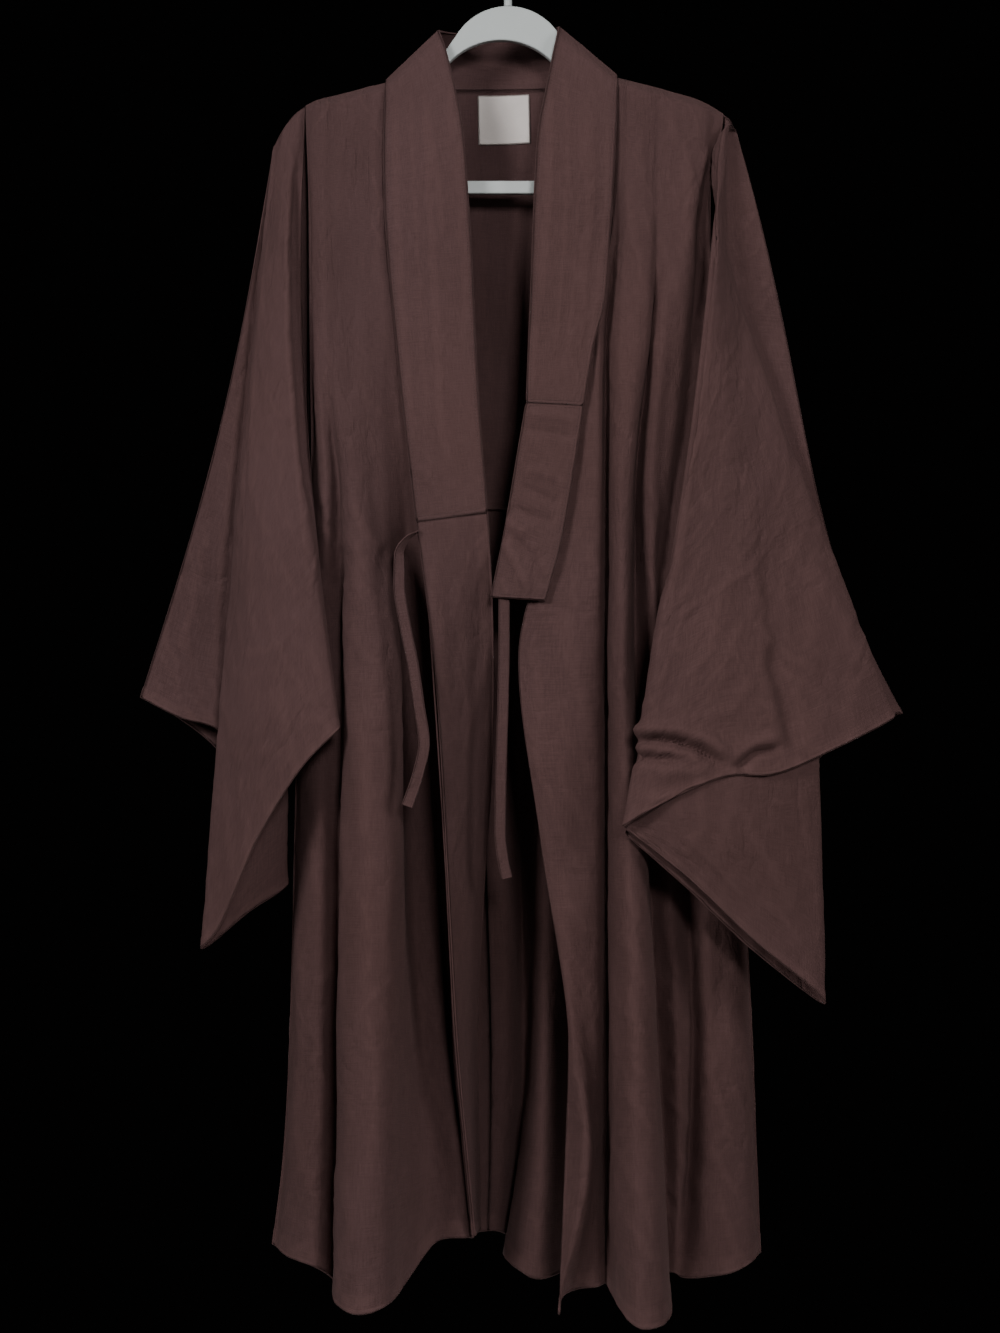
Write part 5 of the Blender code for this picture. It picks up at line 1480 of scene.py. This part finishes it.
    def build_sleeves(self) -> None:
        """Each sleeve's front and back stretches, and the left one's bag."""
        full, bag = self.sleeve_rows, self.bag_rows
        pieces = (
            ("right_front", SLEEVE_RIGHT_FRONT, (), Way.FRONT, full, SLEEVE_RIGHT_CREASES, 23),
            ("right_back", SLEEVE_RIGHT_BACK, SEAM_PULL_RIGHT, Way.BACK, full, SLEEVE_BACK_CREASES, 29),
            ("left_front", SLEEVE_LEFT_FRONT, (), Way.FRONT, full, SLEEVE_LEFT_CREASES, 31),
            ("left_back", SLEEVE_LEFT_BACK, SEAM_PULL_LEFT, Way.BACK, full, SLEEVE_BACK_CREASES, 37),
            ("left_bag", BAG_LEFT, (), Way.FRONT, bag, BAG_CREASES, 41),
        )
        for part, falls, pull, way, rows, creases, seed in pieces:
            grid = across(fall_lines(falls, rows, pull), self.sleeve_steps)
            self.lay(Cloth(f"sleeve_cloth_{part}", f"sleeve_{part}", grid, way, self.cloth, creases,
                           self.sleeve_steps, hems=("bottom",), hem_width=0.009, seed=seed),
                     ROBE_LINEN, *CUTS[f"sleeve_{part}"], seams=(("bottom", 0.0075),))

    def build_ties(self) -> None:
        """Two narrow ties, each a folded strip that hangs with a slow turn."""
        for side, route in (("right", TIE_RIGHT), ("left", TIE_LEFT)):
            stops = np.array(route, float)
            r = smooth(np.linspace(0, len(stops) - 1, 24 * len(stops)), np.arange(len(stops)), stops)
            middle = fan(r[:, 0], r[:, 1], r[:, 2])
            along = unit(np.gradient(middle, axis=0))
            level = unit(np.cross(along, [0, -1.0, 0]))
            turn = np.radians(r[:, 3])[:, None]
            flat = level * np.cos(turn) + np.cross(level, along) * np.sin(turn)
            u = np.linspace(-0.5, 0.5, 9)[None, :, None] * TIE_WIDTH * MM
            grid = middle[:, None] + flat[:, None] * u
            self.lay(Cloth(f"tie_cloth_{side}", f"tie_{side}", grid, Way.FRONT, self.tie, (), 1,
                           crumple=0.25, seed=43),
                     BAND_LINEN, *CUTS[f"tie_{side}"], seams=(("last", 0.0016),))


@dataclass
class Hanger:
    """The hanger's one moulding: an arch with arms and a bar, and the hook.

    Attributes:
        arc_steps: points in a quarter of a large arc.
        rounding_steps: faces round an edge.
    """

    arc_steps: int = 24
    rounding_steps: int = 3

    def arc(self, centre: tuple, radius: float, start: float, stop: float, steps: int = 0) -> np.ndarray:
        """Points of an arc in the hanger's plane, in millimetres; angles from +X towards +Z."""
        turn = np.radians(np.linspace(start, stop, steps or self.arc_steps))
        return np.stack([centre[0] + radius * np.cos(turn), centre[1] + radius * np.sin(turn)], -1)

    @staticmethod
    def trace(curve: bpy.types.Curve, points: np.ndarray) -> bpy.types.Spline:
        """Add a line of straight pieces through points in millimetres, (n, 3), to a curve."""
        spline = curve.splines.new("POLY")
        spline.points.add(len(points) - 1)
        spline.points.foreach_set("co", np.column_stack([points * MM, np.ones(len(points))]).ravel())
        return spline

    def finish(self, piece: bpy.types.Object, turned: bool) -> bpy.types.Object:
        """A curve's mesh, shaded smooth; a turned one is stood up from its drawing plane."""
        bpy.context.scene.collection.objects.link(piece)
        bpy.context.view_layer.update()
        shaped = piece.evaluated_get(bpy.context.evaluated_depsgraph_get())
        mesh = bpy.data.meshes.new_from_object(shaped)
        points = np.empty(len(mesh.vertices) * 3, np.float32)
        mesh.vertices.foreach_get("co", points)
        points = points.reshape(-1, 3)
        if turned:
            points = np.stack([points[:, 0], -points[:, 2], points[:, 1]], -1)
        mesh.vertices.foreach_set("co", points.ravel())
        name = piece.name
        bpy.data.objects.remove(piece)
        made = bpy.data.objects.new(name, mesh)
        bpy.context.scene.collection.objects.link(made)
        mesh.update()
        mesh.shade_smooth()
        mesh.set_sharp_from_angle(angle=np.radians(50))
        return made

    def build_frame(self) -> None:
        """Arch, arms and bar: a flat outline with a hole, its edges rounded."""
        lower = BAR_Z[1] + HANGER_ROUND
        outer = [self.arc(ARCH_CENTRE, ARCH_OUTER, 150, 22, 48), ((82, -135), *ARMS_TOP),
                 self.arc((190, -184), 20, 52, -60), self.arc((172, lower + 12), 12, -30, -90),
                 self.arc((-160, lower + 12), 12, -90, -150), self.arc((-170, -187), 20, 240, 128), ARMS_LEFT]
        inner = [self.arc(ARCH_INNER[:2], ARCH_INNER[2], 42, 138, 40),
                 ((-64, -136), (-110, -164), (-168, -183)),
                 self.arc((-172, -193), 11, 110, 240), self.arc((-156, BAR_Z[0] + 8), 8, 210, 270),
                 self.arc((168, BAR_Z[0] + 8), 8, 270, 330), self.arc((184, -190), 11, -60, 70),
                 ((154, -172), (112, -160), (70, -136))]
        curve = bpy.data.curves.new("hanger_frame", "CURVE")
        curve.dimensions, curve.fill_mode = "2D", "BOTH"
        curve.extrude = (HANGER_HALF - HANGER_ROUND) * MM
        curve.bevel_depth = HANGER_ROUND * MM
        curve.offset = -HANGER_ROUND * MM
        curve.bevel_resolution = self.rounding_steps
        for outline in (outer, inner):
            points = np.concatenate([np.asarray(part, float) for part in outline])
            self.trace(curve, np.insert(points, 2, 0, axis=1)).use_cyclic_u = True
        piece = self.finish(bpy.data.objects.new("hanger_frame", curve), turned=True)
        hand_over(piece, PALE_PLASTIC, "plastic", "hanger_body")

    def build_hook(self) -> None:
        """Round hook that rises from the arch, thicker at its root."""
        ring = HOOK_INNER + HOOK_WIRE
        path = np.concatenate([self.arc((0, -HOOK_INNER), ring, 200, -20, 48),
                               ((14, -38), (9.5, -48), (8, -57), (8, ARCH_CENTRE[1] + ARCH_OUTER + 0.35))])
        curve = bpy.data.curves.new("hanger_hook_wire", "CURVE")
        curve.dimensions = "3D"
        curve.bevel_depth = HOOK_WIRE * MM
        curve.bevel_resolution = 5
        curve.use_fill_caps = True
        spline = self.trace(curve, np.insert(path, 1, 0, axis=1))
        spline.points[-1].radius = spline.points[-2].radius = HOOK_ROOT
        piece = self.finish(bpy.data.objects.new("hanger_hook_wire", curve), turned=False)
        hand_over(piece, PALE_PLASTIC, "plastic", "hanger_hook")


@dataclass
class Studio:
    """Floor, lights and camera.

    Attributes:
        distance: camera from the hanger's plane.
        lens: focal length for a 36 mm frame on the picture's long side.
        floor_z: height of the floor.
        floor_half: half the floor's width.
        floor_thick: the floor's thickness.
    """

    distance: float = 2.0
    lens: float = 54.0
    floor_z: float = -1.62
    floor_half: float = 0.62
    floor_thick: float = 0.02

    def build(self) -> None:
        """Pale floor below the robe, soft lights in front and above, and the camera."""
        top = np.array([(-1, -1), (1, -1), (1, 1), (-1, 1)]) * self.floor_half
        levels = (self.floor_z, self.floor_z - self.floor_thick)
        points = np.concatenate([np.column_stack([top, np.full(4, z)]) for z in levels])
        faces = np.array([(0, 1, 2, 3), (7, 6, 5, 4), (0, 4, 5, 1), (1, 5, 6, 2), (2, 6, 7, 3), (3, 7, 4, 0)])
        floor = mesh_object("floor", points, faces)
        floor.data.materials.append(FLOOR.build())
        floor.data.shade_flat()
        for name, place, aim, size, power in LIGHTS:
            lamp = bpy.data.lights.new(name, "AREA")
            lamp.size, lamp.energy = size, power
            lamp_object = bpy.data.objects.new(name, lamp)
            lamp_object.location = place
            lamp_object.visible_camera = False
            way = np.array(aim) - np.array(place)
            lamp_object.rotation_euler = (np.arctan2(np.hypot(way[0], way[1]), -way[2]), 0,
                                          np.arctan2(-way[0], way[1]))
            bpy.context.scene.collection.objects.link(lamp_object)
        world = bpy.data.worlds.new("dark_room")
        world.use_nodes = True
        world.node_tree.nodes["Background"].inputs[0].default_value = (0.0012, 0.0011, 0.0011, 1)
        bpy.context.scene.world = world
        camera = bpy.data.cameras.new("camera")
        camera.lens, camera.sensor_width, camera.sensor_fit = self.lens, 36.0, "AUTO"
        camera.clip_start, camera.clip_end = 0.05, 50
        seen = bpy.data.objects.new("camera", camera)
        seen.location = (0, -self.distance, MIDDLE_Z)
        seen.rotation_euler = (np.pi / 2, 0, 0)
        bpy.context.scene.collection.objects.link(seen)
        bpy.context.scene.camera = seen


def main() -> None:
    """Build the scene in order and note the sizes."""
    logging.basicConfig(level=logging.INFO, format="%(message)s")
    Studio().build()
    Hanger().build_frame()
    Hanger().build_hook()
    robe = Robe()
    robe.build_body()
    robe.build_collar()
    robe.build_sleeves()
    robe.build_ties()
    bpy.context.view_layer.update()


if __name__ == "__main__":
    main()
